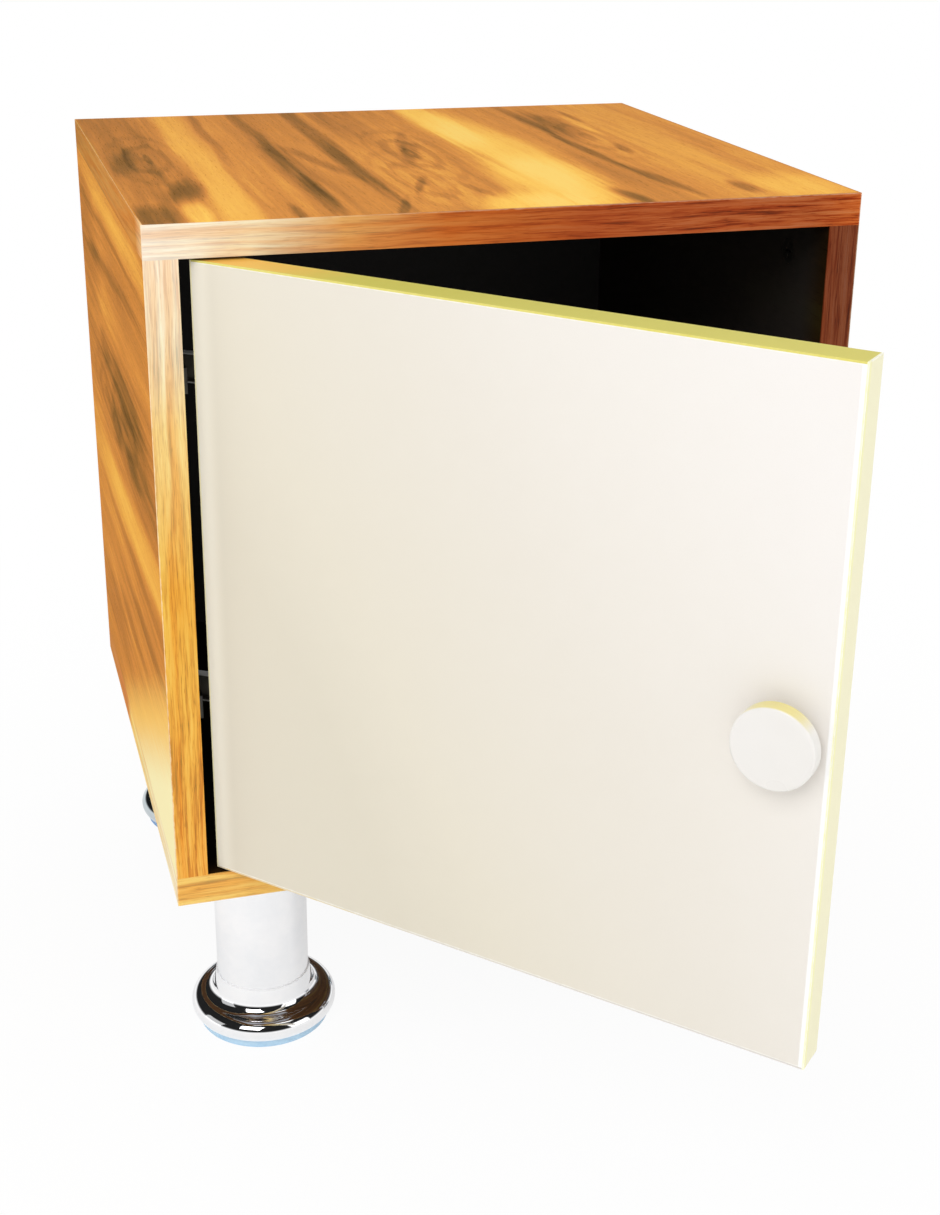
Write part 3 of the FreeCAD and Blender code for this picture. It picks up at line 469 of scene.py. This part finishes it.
PATCH_HEIGHT = 126 * MM  # the painted highlight patch's height at the front edge, above the case's underside
PATCH_SLOPE = 0.465  # how fast it sinks towards the back
PATCH_FRAY = 12 * MM  # how far the fibres move its outline to either side
GOLDEN = srgb(255, 206, 110)
GOLDEN_BORDER = (-30 * MM, 12 * MM)  # where its golden rim fades in, inwards from its outline
GOLDEN_SHARE = 0.9
PALE = srgb(255, 245, 192)
PALE_BORDER = (2 * MM, 56 * MM)  # where its pale middle fades in
PALE_SHARE = 0.97


def shaded_inside(tree, colour, inner):
    """The faces inside the case: the same laminate with painted shade, darker from the front edge
    inwards.

    inner: (axis, where the inner face lies on it, 1 or -1 as the inside lies above or below).
    """
    axis, face, side = inner
    values = split(tree, place(tree))
    distance = calc(tree, "MULTIPLY", calc(tree, "SUBTRACT", values[axis], face), side)
    inside = calc(tree, "GREATER_THAN", distance, -FACE_SLACK)
    depth = calc(tree, "SUBTRACT", values[Y], case_low.y)
    near = mixed(tree, 1.0, colour, SHADE_NEAR, "MULTIPLY")
    far = mixed(tree, SHADE_GRAIN, SHADE_FAR[axis], near)
    return mixed(tree, inside, colour, mixed(tree, fade(tree, depth, 0.0, SHADE_DEPTH), near, far))


def painted_highlight_patch(tree, colour, point, fibres):
    """A painted highlight: the pale patch low on the left side, with a slanting border that runs down
    to the back.
    """
    across, along, _ = split(tree, point)
    inwards = total(tree, [weighted(tree, PATCH_HEIGHT, (along, -PATCH_SLOPE), (across, -1.0)),
                           between(tree, fibres, -PATCH_FRAY, PATCH_FRAY)])
    golden_share = fade(tree, inwards, *GOLDEN_BORDER, to_high=GOLDEN_SHARE)
    painted_light_share = fade(tree, inwards, *PALE_BORDER, to_high=PALE_SHARE)
    return mixed(tree, painted_light_share, mixed(tree, golden_share, colour, GOLDEN), PALE)


def walnut_board(name, across_axis, streaks, swirls, seed, inner, base=WALNUT_BASE,
                 specular=WALNUT_GLOSS, highlight_patched=False):
    """The laminate on one board, with the grain along y and a dark foil under the case as painted
    shade.

    inner is as in shaded_inside.
    """
    material, tree = new_material(name)
    point = board_place(tree, across_axis)
    tone, height, fibres, pores = walnut_figure(tree, point, base, streaks, swirls, seed)
    colour = ramp(tree, tone, WALNUT_TONES)
    # The painted highlight patch, on the left side only
    if highlight_patched:
        colour = painted_highlight_patch(tree, colour, point, fibres)
    # Edges paled by use and by a painted highlight
    worn_highlit = edge_wear_and_highlight(tree, place(tree), case_low, case_high, WALNUT_WORN_HIGHLIT_REACH)
    colour = mixed(tree, calc(tree, "MULTIPLY", worn_highlit, WORN_HIGHLIT_SHARE), colour, WALNUT_WORN_HIGHLIT)
    colour = shaded_inside(tree, colour, inner)
    # A dark foil under the case, a painted shade
    under = calc(tree, "LESS_THAN", split(tree, place(tree))[Z], case_low.z + FACE_SLACK)
    colour = mixed(tree, under, colour, mixed(tree, UNDERSIDE_SHADE_FOIL_GRAIN, UNDERSIDE_SHADE_FOIL, colour))
    smudges = noise(tree, place(tree), cells=28.0, detail=3.0)
    roughness = weighted(tree, 0.38, (fibres, 0.10), (pores, 0.15), (smudges, 0.10))
    finish_surface(tree, colour, roughness, height, depth=0.06 * MM, strength=0.5,
                   specular=specular)
    return material


assign(walnut_board("walnut_top", X, TOP_STREAKS, TOP_SWIRLS, seed=3.7,
                    inner=(Z, inner_top, -1)), "top_panel")
assign(walnut_board("walnut_left", Z, SIDE_STREAKS, SIDE_SWIRLS, seed=11.3,
                    inner=(X, inner_left, 1), base=0.49, specular=NO_GLOSS, highlight_patched=True),
       "left_side_panel")
assign(walnut_board("walnut_right", Z, PLAIN_STREAKS, PLAIN_SWIRLS, seed=19.1,
                    inner=(X, inner_right, -1)), "right_side_panel")
assign(walnut_board("walnut_bottom", X, PLAIN_STREAKS, PLAIN_SWIRLS, seed=27.9,
                    inner=(Z, inner_bottom, 1)), "bottom_panel")


# ---------------------------------------------------------------- edge bands of the case

BAND_GLOSS = 0.05  # specular level
BAND_WORN_HIGHLIT_REACH = 0.7 * MM  # how far from an edge a band pales, by use and by a painted highlight
BAND_WORN_HIGHLIT = srgb(255, 232, 190)
WARM_TINT = srgb(250, 214, 180)
WARM_BORDER = (0.42, 0.66)
WARM_SHARE = 0.6
SWAY = 3 * MM  # how far a band's grain bends to either side
# Noise layers of a band: cells a metre across its length and along it. The third place of the
# point is zero, so only the seed counts there
SWAY_CELLS = (40, 9, 1)
MOTTLE_CELLS = (380, 12, 1)
FIBRE_CELLS = (1500, 46, 1)
PORE_CELLS = (2600, 130, 1)
WARM_CELLS = (210, 7, 1)
WARM_SHIFT = 5  # keeps the warm stains off the mottles

BAND_TONES = [(0.0, srgb(84, 38, 18)), (0.20, srgb(202, 136, 82)), (0.40, srgb(250, 228, 188)),
              (0.58, srgb(255, 255, 255))]
# The pale left end of PALE_TO_RED is a painted highlight, and the pale front end of PALE_TO_BROWN
# carries the left side's painted highlight patch
PALE_TO_RED = [(0.0, srgb(248, 240, 224)), (0.14, srgb(242, 231, 200)), (0.26, srgb(236, 182, 112)),
               (0.40, srgb(208, 124, 58)), (0.60, srgb(178, 91, 47)), (0.93, srgb(178, 104, 64)),
               (1.0, srgb(200, 118, 64))]
PALE_TO_BROWN = [(0.0, srgb(255, 246, 214)), (0.3, srgb(255, 245, 196)), (0.5, srgb(255, 238, 170)),
                 (0.61, srgb(255, 226, 138)), (0.67, srgb(228, 160, 94)), (1.0, srgb(212, 148, 80))]
GOLD_TO_PALE = [(0.0, srgb(247, 192, 94)), (0.5, srgb(242, 196, 88)), (0.75, srgb(246, 220, 150)),
                (0.88, srgb(246, 240, 212)), (1.0, srgb(250, 242, 222))]
GOLD = [(0.0, srgb(248, 211, 122)), (1.0, srgb(245, 200, 112))]
TAN = [(0.0, srgb(246, 206, 150)), (0.07, srgb(218, 152, 74)), (0.5, srgb(212, 154, 78)),
       (0.8, srgb(202, 146, 70)), (1.0, srgb(198, 142, 68))]
ORANGE = [(0.0, srgb(212, 146, 66)), (1.0, srgb(202, 138, 62))]
DEEP_RED = [(0.0, srgb(130, 76, 51)), (1.0, srgb(126, 72, 49))]


def walnut_band(node, along_axis, seed, stops, contrast, worn_highlit_share, specular):
    """An edge band with mottled grain along its length.

    stops: its tint from its low end to its high end. contrast: how strongly the grain shows at
    these two ends. worn_highlit_share: how far its edges pale, by use and by a painted highlight.
    """
    low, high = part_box(node)
    material, tree = new_material(f"walnut_{node}")
    values = split(tree, place(tree))
    along = values.pop(along_axis)
    across = calc(tree, "ADD", *values)
    straight = joined(tree, across, along, 0.0)
    sway = long_noise(tree, straight, SWAY_CELLS, (seed, 0, 0))
    bent = joined(tree, calc(tree, "ADD", across, between(tree, sway, -SWAY, SWAY)), along, 0.0)
    mottles = long_noise(tree, bent, MOTTLE_CELLS, (0, 0, seed), detail=3.0, roughness=0.6)
    fibres = long_noise(tree, bent, FIBRE_CELLS, (0, 0, seed), roughness=0.6)
    warm = long_noise(tree, bent, WARM_CELLS, (0, 0, seed + WARM_SHIFT))
    pores = long_noise(tree, straight, PORE_CELLS, (seed, 0, 0), detail=1.0)
    pores = fade(tree, pores, 0.60, 0.74)
    share = span(tree, along, low[along_axis], high[along_axis])
    warm_share = fade(tree, warm, *WARM_BORDER, to_high=WARM_SHARE)
    tint = mixed(tree, warm_share, ramp(tree, share, stops), WARM_TINT, "MULTIPLY")
    tone = weighted(tree, -0.70, (mottles, 1.3), (fibres, 0.8), (pores, -0.2))
    colour = mixed(tree, between(tree, share, *contrast), tint, ramp(tree, tone, BAND_TONES),
                   "MULTIPLY")
    # Edges paled by use and by a painted highlight
    worn_highlit = edge_wear_and_highlight(tree, place(tree), case_low, case_high, BAND_WORN_HIGHLIT_REACH)
    colour = mixed(tree, calc(tree, "MULTIPLY", worn_highlit, worn_highlit_share), colour, BAND_WORN_HIGHLIT)
    height = calc(tree, "SUBTRACT", calc(tree, "MULTIPLY", fibres, 0.5), pores)
    roughness = between(tree, fibres, 0.36, 0.52)
    finish_surface(tree, colour, roughness, height, depth=0.05 * MM, strength=0.5,
                   specular=specular)
    assign(material, node)


# For each band: its node, the axis along it, its seed, its tint, the grain's contrast at its low
# and high ends, how far its edges pale by use and by a painted highlight, and its specular level
CASE_BANDS = (
    ("top_panel_front_band", X, 62.0, PALE_TO_RED, (0.25, 1.0), 0.3, BAND_GLOSS),
    ("bottom_panel_front_band", X, 71.3, GOLD, (0.5, 0.5), 0.4, BAND_GLOSS),
    ("left_side_front_band", Z, 64.0, GOLD_TO_PALE, (0.7, 0.35), 0.85, BAND_GLOSS),
    ("right_side_front_band", Z, 67.1, DEEP_RED, (0.8, 0.8), 0.3, BAND_GLOSS),
    ("top_panel_left_band", Y, 59.9, TAN, (0.3, 0.3), 0.2, NO_GLOSS),
    ("top_panel_right_band", Y, 63.0, ORANGE, (0.4, 0.4), 0.3, BAND_GLOSS),
    ("bottom_panel_left_band", Y, 69.2, PALE_TO_BROWN, (0.25, 0.25), 0.3, NO_GLOSS),
    ("bottom_panel_right_band", Y, 72.3, ORANGE, (0.4, 0.4), 0.3, BAND_GLOSS),
)
for band in CASE_BANDS:
    walnut_band(*band)


# ---------------------------------------------------------------- back panel and dowels

HARDBOARD_TONES = [(0.3, srgb(82, 52, 30)), (0.5, srgb(112, 74, 44)), (0.7, srgb(140, 98, 62))]
# Painted shade on the back panel's inside face
HARDBOARD_INSIDE_SHADE = srgb(18, 13, 10)
BEECH_TONES = [(0.3, srgb(196, 152, 104)), (0.7, srgb(226, 190, 144))]
BEECH_RAYS = srgb(168, 118, 76)


def hardboard():
    """The back panel: pressed brown fibre, with a painted shade that makes the side facing the inside
    nearly black.
    """
    material, tree = new_material("hardboard")
    point = place(tree)
    flecks = noise(tree, point, cells=420.0, detail=4.0, roughness=0.7)
    clouds = noise(tree, point, cells=22.0, detail=3.0)
    press = add(tree, "ShaderNodeTexVoronoi", {"Vector": point, "Scale": 700.0}).outputs["Distance"]
    colour = ramp(tree, weighted(tree, 0.0, (flecks, 0.65), (clouds, 0.35)), HARDBOARD_TONES)
    back_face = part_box("back_panel")[1].y
    inside = calc(tree, "LESS_THAN", split(tree, point)[Y], back_face - 2 * FACE_SLACK)
    colour = mixed(tree, inside, colour, HARDBOARD_INSIDE_SHADE)
    roughness = between(tree, flecks, 0.55, 0.75)
    finish_surface(tree, colour, roughness, press, depth=0.1 * MM, strength=0.4, specular=0.3)
    return material


def beech():
    """Bare dowel wood with fine fibres and short dark rays."""
    material, tree = new_material("beech")
    point = place(tree)
    fibres = long_noise(tree, point, (1500, 1500, 60), detail=3.0, roughness=0.6)
    rays = long_noise(tree, point, (900, 900, 160), (4, 0, 0), detail=1.0)
    ray_share = fade(tree, rays, 0.60, 0.72, to_high=0.5)
    colour = mixed(tree, ray_share, ramp(tree, fibres, BEECH_TONES), BEECH_RAYS)
    roughness = between(tree, fibres, 0.5, 0.7)
    finish_surface(tree, colour, roughness, fibres, depth=0.1 * MM, strength=0.4)
    return material


assign(hardboard(), "back_panel")
assign(beech(), "corner_dowels")


# ---------------------------------------------------------------- cream door and its bands

# Tints of the door, which paint its light and shade: the face lighter towards the upper right, the top
# band an olive shade, the side bands a pale yellow lightened as painted light
CREAM_FACE = [(0.0, srgb(223, 216, 198)), (0.16, srgb(229, 222, 205)), (0.5, srgb(233, 227, 216)),
              (1.0, srgb(243, 239, 235))]
CREAM_TOP = [(0.0, srgb(244, 184, 86)), (0.12, srgb(230, 188, 86)), (0.24, srgb(204, 199, 94)),
             (1.0, srgb(221, 211, 114))]
CREAM_BOTTOM = [(0.0, srgb(232, 200, 120)), (0.2, srgb(230, 214, 168)), (0.4, srgb(226, 220, 208)),
                (1.0, srgb(221, 216, 212))]
CREAM_SIDE = [(0.0, srgb(246, 241, 204)), (1.0, srgb(248, 244, 208))]
CREAM_SPECKS = srgb(206, 196, 168)
SPECK_SHARE = 0.08
LINE_FADE = 0.6  # how much of a line's width is at full strength
# How far and how much the door's edges pale, by use and by a painted highlight
CREAM_WORN_HIGHLIT_REACH = 0.7 * MM
CREAM_WORN_HIGHLIT_SHARE = 0.7
HINGE_LIGHT_BORDER = (14 * MM, 1 * MM)  # how far from the hinge side the face starts and ends to pale, a painted light against the shade there
HINGE_LIGHT_SHARE = 0.85

# For each node: its material's name; its tint, a painted light and shade; how far along the tint it
# starts and how far the tint runs with x and with z; the painted line of light and shade along one
# edge, as its axis, end, width and colour; the colour of its edges paled by use and a painted
# highlight; the colour to which it pales at the hinge side as painted light, if it does
CREAM_LOOKS = {
    "door_panel": dict(
        name="cream_face", stops=CREAM_FACE, start=0.15, along_x=0.95, along_z=0.5,
        line=(X, HIGH_END, 2.4 * MM, srgb(255, 255, 254)), worn_highlit_colour=srgb(255, 253, 246),
        painted_hinge_light=srgb(255, 248, 230)),
    "door_top_band": dict(
        name="cream_top_edge", stops=CREAM_TOP, start=0.0, along_x=1.0, along_z=0.0,
        line=(Y, LOW_END, 1.2 * MM, srgb(228, 216, 104)), worn_highlit_colour=srgb(230, 220, 134)),
    "door_bottom_band": dict(
        name="cream_bottom_edge", stops=CREAM_BOTTOM, start=0.0, along_x=1.0, along_z=0.0,
        line=(Y, HIGH_END, 1.2 * MM, srgb(206, 200, 186)), worn_highlit_colour=srgb(226, 221, 212)),
    "door_handle_side_band": dict(
        name="cream_side_edge", stops=CREAM_SIDE, start=0.5, along_x=0.0, along_z=0.5,
        line=(Y, LOW_END, 3.5 * MM, srgb(249, 246, 190)), worn_highlit_colour=srgb(255, 255, 246)),
    "door_hinge_side_band": dict(
        name="cream_hinge_edge", stops=CREAM_SIDE, start=0.5, along_x=0.0, along_z=0.5,
        line=(Y, LOW_END, 1.2 * MM, srgb(255, 244, 196)), worn_highlit_colour=srgb(255, 246, 205)),
}


def cream_tint(tree, values, low, high, drift, mottle, stops, start, along_x, along_z):
    """The tint that runs over a piece of the door, a painted light and shade, with soft drifts in it.
    """
    share = total(tree, [span(tree, values[X], low.x, high.x, start, start + along_x),
                         span(tree, values[Z], low.z, high.z, -along_z, 0.0),
                         between(tree, drift, -0.08, 0.08),
                         between(tree, mottle, -0.025, 0.025)])
    return ramp(tree, share, stops)


def cream_surface(node, name, line, worn_highlit_colour, painted_hinge_light=None, **tint):
    """Cream laminate or band on the door; the other arguments are as in CREAM_LOOKS."""
    low, high = door_box(node)
    material, tree = new_material(name)
    point = door_place(tree)
    values = split(tree, point)
    drift = noise(tree, point, cells=5.0)
    mottle = noise(tree, point, cells=60.0, detail=3.0)
    grain = noise(tree, point, cells=1800.0, roughness=0.6)
    peel = noise(tree, point, cells=900.0)
    colour = cream_tint(tree, values, low, high, drift, mottle, **tint)
    colour = mixed(tree, fade(tree, grain, 0.55, 0.75, to_high=SPECK_SHARE), colour, CREAM_SPECKS)
    # Painted light against the shade at the hinge side
    if painted_hinge_light:
        from_hinge = calc(tree, "SUBTRACT", values[X], low.x)
        painted_light_share = fade(tree, from_hinge, *HINGE_LIGHT_BORDER, to_high=HINGE_LIGHT_SHARE)
        colour = mixed(tree, painted_light_share, colour, painted_hinge_light)
    # A painted line of light and shade along one edge
    axis, end, width, line_colour = line
    from_edge = calc(tree, "ABSOLUTE", calc(tree, "SUBTRACT", values[axis], (low, high)[end][axis]))
    colour = mixed(tree, fade(tree, from_edge, width, LINE_FADE * width), colour, line_colour)
    # Edges paled by use and by a painted highlight
    worn_highlit = edge_wear_and_highlight(tree, point, low, high, CREAM_WORN_HIGHLIT_REACH)
    colour = mixed(tree, calc(tree, "MULTIPLY", worn_highlit, CREAM_WORN_HIGHLIT_SHARE), colour, worn_highlit_colour)
    roughness = weighted(tree, 0.30, (mottle, 0.14), (grain, 0.08))
    finish_surface(tree, colour, roughness, peel, depth=0.04 * MM, strength=0.35, specular=0.3)
    assign(material, node)


for node, look in CREAM_LOOKS.items():
    cream_surface(node, **look)


# ---------------------------------------------------------------- knob

KNOB_TONES = [(0.3, srgb(234, 231, 226)), (0.7, srgb(238, 235, 231))]
# The olive yellow where the knob faces up is a painted shade
KNOB_UPPER_SHADE = srgb(231, 218, 146)


def knob_lacquer():
    """Cream lacquer, with a painted shade in olive yellow where its surface faces up."""
    material, tree = new_material("knob_lacquer")
    point = door_place(tree)
    drift = noise(tree, point, cells=22.0)
    normal = add(tree, "ShaderNodeTexCoord").outputs["Normal"]
    upward_shade = fade(tree, split(tree, normal)[Z], 0.50, 0.97)
    colour = mixed(tree, upward_shade, ramp(tree, drift, KNOB_TONES), KNOB_UPPER_SHADE)
    peel = noise(tree, point, cells=700.0)
    roughness = between(tree, drift, 0.22, 0.36)
    finish_surface(tree, colour, roughness, peel, depth=0.04 * MM, strength=0.3)
    return material


assign(knob_lacquer(), "door_knob")


# ---------------------------------------------------------------- metals and plastic

GLINT_BORDER = (0.9 * MM, 0.6 * MM)  # distances from a height between which a painted glint fades in
GLINT_TONES = (srgb(226, 226, 222), srgb(250, 250, 248))
GLINT_METALLIC = 0.1
WIPE_CELLS = (260, 260, 30)
SEAM_BORDER = (0.8 * MM, 0.3 * MM)  # the same for the dried polish at the foot's seam


def glint_share(tree, point, heights):
    """1 close to any of some heights, 0 elsewhere."""
    level = split(tree, point)[Z]
    reaches = [calc(tree, "ABSOLUTE", calc(tree, "SUBTRACT", level, height)) for height in heights]
    nearest = reaches[0]
    for reach in reaches[1:]:
        nearest = calc(tree, "MINIMUM", nearest, reach)
    return fade(tree, nearest, *GLINT_BORDER)


def brushed(name, dark, light, polish, cells, metallic=1.0, glint_heights=()):
    """A plain metal with fine scratches, soft stains and, where asked for, painted glints at given
    heights.

    polish is its least roughness, and cells are the scratches' cells a metre.
    """
    material, tree = new_material(name)
    point = place(tree)
    scratches = long_noise(tree, point, cells, detail=3.0, roughness=0.65)
    stains = noise(tree, point, cells=160.0, detail=3.0)
    tone = weighted(tree, 0.0, (scratches, 0.55), (stains, 0.45))
    colour = ramp(tree, tone, [(0.3, dark), (0.7, light)])
    roughness = weighted(tree, polish, (scratches, 0.22), (stains, 0.16))
    # Painted glints along the given heights
    if glint_heights:
        rim = glint_share(tree, point, glint_heights)
        colour = mixed(tree, rim, colour, mixed(tree, stains, *GLINT_TONES))
        metallic = between(tree, rim, metallic, GLINT_METALLIC)
    finish_surface(tree, colour, roughness, scratches, depth=0.05 * MM, strength=0.4,
                   metallic=metallic)
    return material


def chrome(name, dark, light):
    """Mirror chrome with a breath of haze and a thin line of dried polish at the foot's seam."""
    material, tree = new_material(name)
    point = place(tree)
    haze = noise(tree, point, cells=45.0, detail=4.0, roughness=0.6)
    wipes = long_noise(tree, point, WIPE_CELLS)
    colour = ramp(tree, haze, [(0.35, dark), (0.65, light)])
    from_seam = calc(tree, "ABSOLUTE", calc(tree, "SUBTRACT", split(tree, point)[Z], foot_top))
    dried = fade(tree, from_seam, *SEAM_BORDER)
    roughness = weighted(tree, 0.0, (haze, 0.07), (wipes, 0.05), (dried, 0.55))
    finish_surface(tree, colour, roughness, wipes, depth=0.01 * MM, strength=0.2,
                   metallic=calc(tree, "SUBTRACT", 1.0, dried))
    return material


def pale_plastic(name, dark, light):
    """Moulded plastic of the glides, mottled and pitted."""
    material, tree = new_material(name)
    point = place(tree)
    mottle = noise(tree, point, cells=140.0, detail=3.0)
    pits = noise(tree, point, cells=1400.0)
    colour = ramp(tree, mottle, [(0.3, dark), (0.7, light)])
    roughness = between(tree, mottle, 0.35, 0.55)
    finish_surface(tree, colour, roughness, pits, depth=0.06 * MM, strength=0.4)
    return material


# The hinges' nickel is dark, a painted shade for the door's gap
NICKEL = (srgb(106, 104, 99), srgb(136, 133, 126), 0.16, (600, 600, 80))
arm_heights = [corner.z for arm in ("upper_hinge_arm", "lower_hinge_arm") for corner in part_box(arm)]
hinge_nickel = brushed("hinge_nickel", *NICKEL)
arm_nickel = brushed("hinge_arm_nickel", *NICKEL, glint_heights=arm_heights)
plate_steel = brushed("plate_steel", srgb(150, 152, 158), srgb(196, 198, 202), 0.22, (700, 60, 700))
screw_steel = brushed("screw_steel", srgb(168, 170, 174), srgb(210, 211, 214), 0.16, (900, 900, 900))
# The cam locks are dark, a painted shade inside the case
zinc = brushed("zinc_cast", srgb(34, 32, 30), srgb(52, 48, 44), 0.45, (420, 420, 420), metallic=0.6)
# The rear legs and their glides are darker, a painted shade under the case, and the glides bluer, as
# in the photograph
leg_chrome = chrome("leg_chrome", srgb(246, 247, 249), srgb(252, 252, 253))
rear_chrome_in_shade = chrome("rear_leg_chrome", srgb(186, 196, 200), srgb(204, 212, 216))
glide_plastic = pale_plastic("glide_plastic", srgb(176, 213, 240), srgb(198, 228, 248))
rear_plastic_in_shade = pale_plastic("rear_glide_plastic", srgb(112, 158, 212), srgb(138, 180, 226))

for end, metal, plastic in (("front", leg_chrome, glide_plastic), ("rear", rear_chrome_in_shade, rear_plastic_in_shade)):
    for side in ("left", "right"):
        assign(metal, f"{end}_{side}_leg_tube", f"{end}_{side}_leg_foot")
        assign(plastic, f"{end}_{side}_leg_glide")
        assign(plate_steel, f"{end}_{side}_leg_plate")
for level in ("upper", "lower"):
    assign(arm_nickel, f"{level}_hinge_arm")
    assign(hinge_nickel, f"{level}_hinge_plate", f"{level}_outer_link", f"{level}_inner_link",
           f"{level}_hinge_cup")
assign(hinge_nickel, "hinge_arm_pins", "hinge_cup_pins")
assign(zinc, "cam_locks")
assign(screw_steel, "cam_bolts", "leg_plate_screws", "leg_grub_screws", "knob_screw",
       "hinge_plate_screws", "hinge_adjusting_screws", "hinge_cup_screws")


# ---------------------------------------------------------------- floor and background

WHITE = (1.0, 1.0, 1.0, 1.0)
FLOOR_HALF = 6.0
FLOOR_PALE = srgb(250, 250, 250)
# How much of the floor is plain white right under the object, to the camera and in the chrome,
# and between which distances from there it becomes all white
FLOOR_SHARE = 0.94
FLOOR_FADE = (0.2, 0.9)
MIRROR_SHARE = 0.6
MIRROR_FADE = (0.15, 0.55)
WORLD_LEVEL = 0.62
CEILING_FADE = (0.0, 0.26)  # how high up the world the mirrored room turns dark
CEILING_LEVEL = 0.015


def make_floor():
    """A pale floor that keeps the object's shadow and turns white away from the object."""
    mesh = bpy.data.meshes.new("floor")
    corners = [(-FLOOR_HALF, -FLOOR_HALF, 0), (FLOOR_HALF, -FLOOR_HALF, 0),
               (FLOOR_HALF, FLOOR_HALF, 0), (-FLOOR_HALF, FLOOR_HALF, 0)]
    mesh.from_pydata(corners, [], [(0, 1, 2, 3)])
    floor = bpy.data.objects.new("floor", mesh)
    scene.collection.objects.link(floor)
    material, tree = new_material("floor_pale")
    matte = add(tree, "ShaderNodeBsdfDiffuse", {"Color": FLOOR_PALE})
    white = add(tree, "ShaderNodeEmission", {"Color": WHITE, "Strength": 1.0})
    distance = add(tree, "ShaderNodeVectorMath", {0: place(tree)}, operation="LENGTH").outputs["Value"]
    path = add(tree, "ShaderNodeLightPath").outputs
    plain = fade(tree, distance, *FLOOR_FADE, FLOOR_SHARE, 1.0)
    mirrored = fade(tree, distance, *MIRROR_FADE, MIRROR_SHARE, 1.0)
    share = add(tree, "ShaderNodeMix", {"Factor": path["Is Glossy Ray"], "A": plain, "B": mirrored})
    seen = calc(tree, "MAXIMUM", path["Is Camera Ray"], path["Is Glossy Ray"])
    white_share = calc(tree, "MULTIPLY", share.outputs["Result"], seen)
    both = add(tree, "ShaderNodeMixShader", {0: white_share, 1: matte.outputs[0], 2: white.outputs[0]})
    add(tree, "ShaderNodeOutputMaterial", {"Surface": both.outputs[0]})
    mesh.materials.append(material)


def make_world():
    """White to the camera; to mirrors a white room with a dark ceiling; an even light to the rest."""
    world = bpy.data.worlds.new("studio")
    world.use_nodes = True
    tree = world.node_tree
    tree.nodes.clear()
    height = split(tree, add(tree, "ShaderNodeTexCoord").outputs["Generated"])[Z]
    path = add(tree, "ShaderNodeLightPath").outputs
    mirrored = fade(tree, height, *CEILING_FADE, 1.0, CEILING_LEVEL)
    level = mixed(tree, path["Is Glossy Ray"], joined(tree, *[WORLD_LEVEL] * 3),
                  joined(tree, *[mirrored] * 3))
    seen = calc(tree, "MAXIMUM", path["Is Camera Ray"], path["Is Transmission Ray"])
    colour = mixed(tree, seen, level, WHITE)
    background = add(tree, "ShaderNodeBackground", {"Color": colour, "Strength": 1.0})
    add(tree, "ShaderNodeOutputWorld", {"Surface": background.outputs[0]})
    scene.world = world


make_floor()
make_world()


# ---------------------------------------------------------------- lamps

# Name, place, side of the square in metres, and watts
LAMPS = (
    ("key", (-1.3, -1.7, 2.1), 1.4, 26.0),
    ("top", (0.2, 0.1, 2.4), 1.6, 9.0),
    ("fill", (1.3, -1.4, 0.9), 1.2, 6.0),
    ("left", (-2.2, 0.1, 0.7), 1.2, 2.5),
)


def make_lamp(name, spot, size, watts):
    """A soft square lamp that faces the middle of the case."""
    data = bpy.data.lights.new(name, "AREA")
    data.shape = "SQUARE"
    data.size = size
    data.energy = watts
    lamp = bpy.data.objects.new(name, data)
    lamp.location = spot
    aim = (case_low + case_high) / 2 - Vector(spot)
    lamp.rotation_euler = aim.to_track_quat("-Z", "Y").to_euler()
    scene.collection.objects.link(lamp)


for lamp in LAMPS:
    make_lamp(*lamp)


# ---------------------------------------------------------------- camera, solved on the photograph

IMAGE_LONG_SIDE = 1215
IMAGE_MIDDLE = (470.0, 607.5)
FOCAL_PIXELS = 1812.02
PRINCIPAL_POINT = (471.34, 548.08)
SENSOR = 36.0
EYE = Vector((-0.2982, -0.96732, 0.69781))
RIGHT = Vector((0.95915, -0.28269, 0.01085))
DOWN = Vector((-0.09338, -0.35256, -0.93112))
AHEAD = Vector((0.26704, 0.89207, -0.36455))

camera_data = bpy.data.cameras.new("camera")
camera_data.sensor_width = SENSOR
camera_data.lens = FOCAL_PIXELS / IMAGE_LONG_SIDE * SENSOR
camera_data.shift_x = (IMAGE_MIDDLE[0] - PRINCIPAL_POINT[0]) / IMAGE_LONG_SIDE
camera_data.shift_y = (PRINCIPAL_POINT[1] - IMAGE_MIDDLE[1]) / IMAGE_LONG_SIDE
camera = bpy.data.objects.new("camera", camera_data)
turn = Matrix((RIGHT, -DOWN, -AHEAD)).transposed()
camera.matrix_world = Matrix.Translation(EYE) @ turn.to_4x4()
scene.collection.objects.link(camera)
scene.camera = camera
scene.view_settings.view_transform = "Standard"
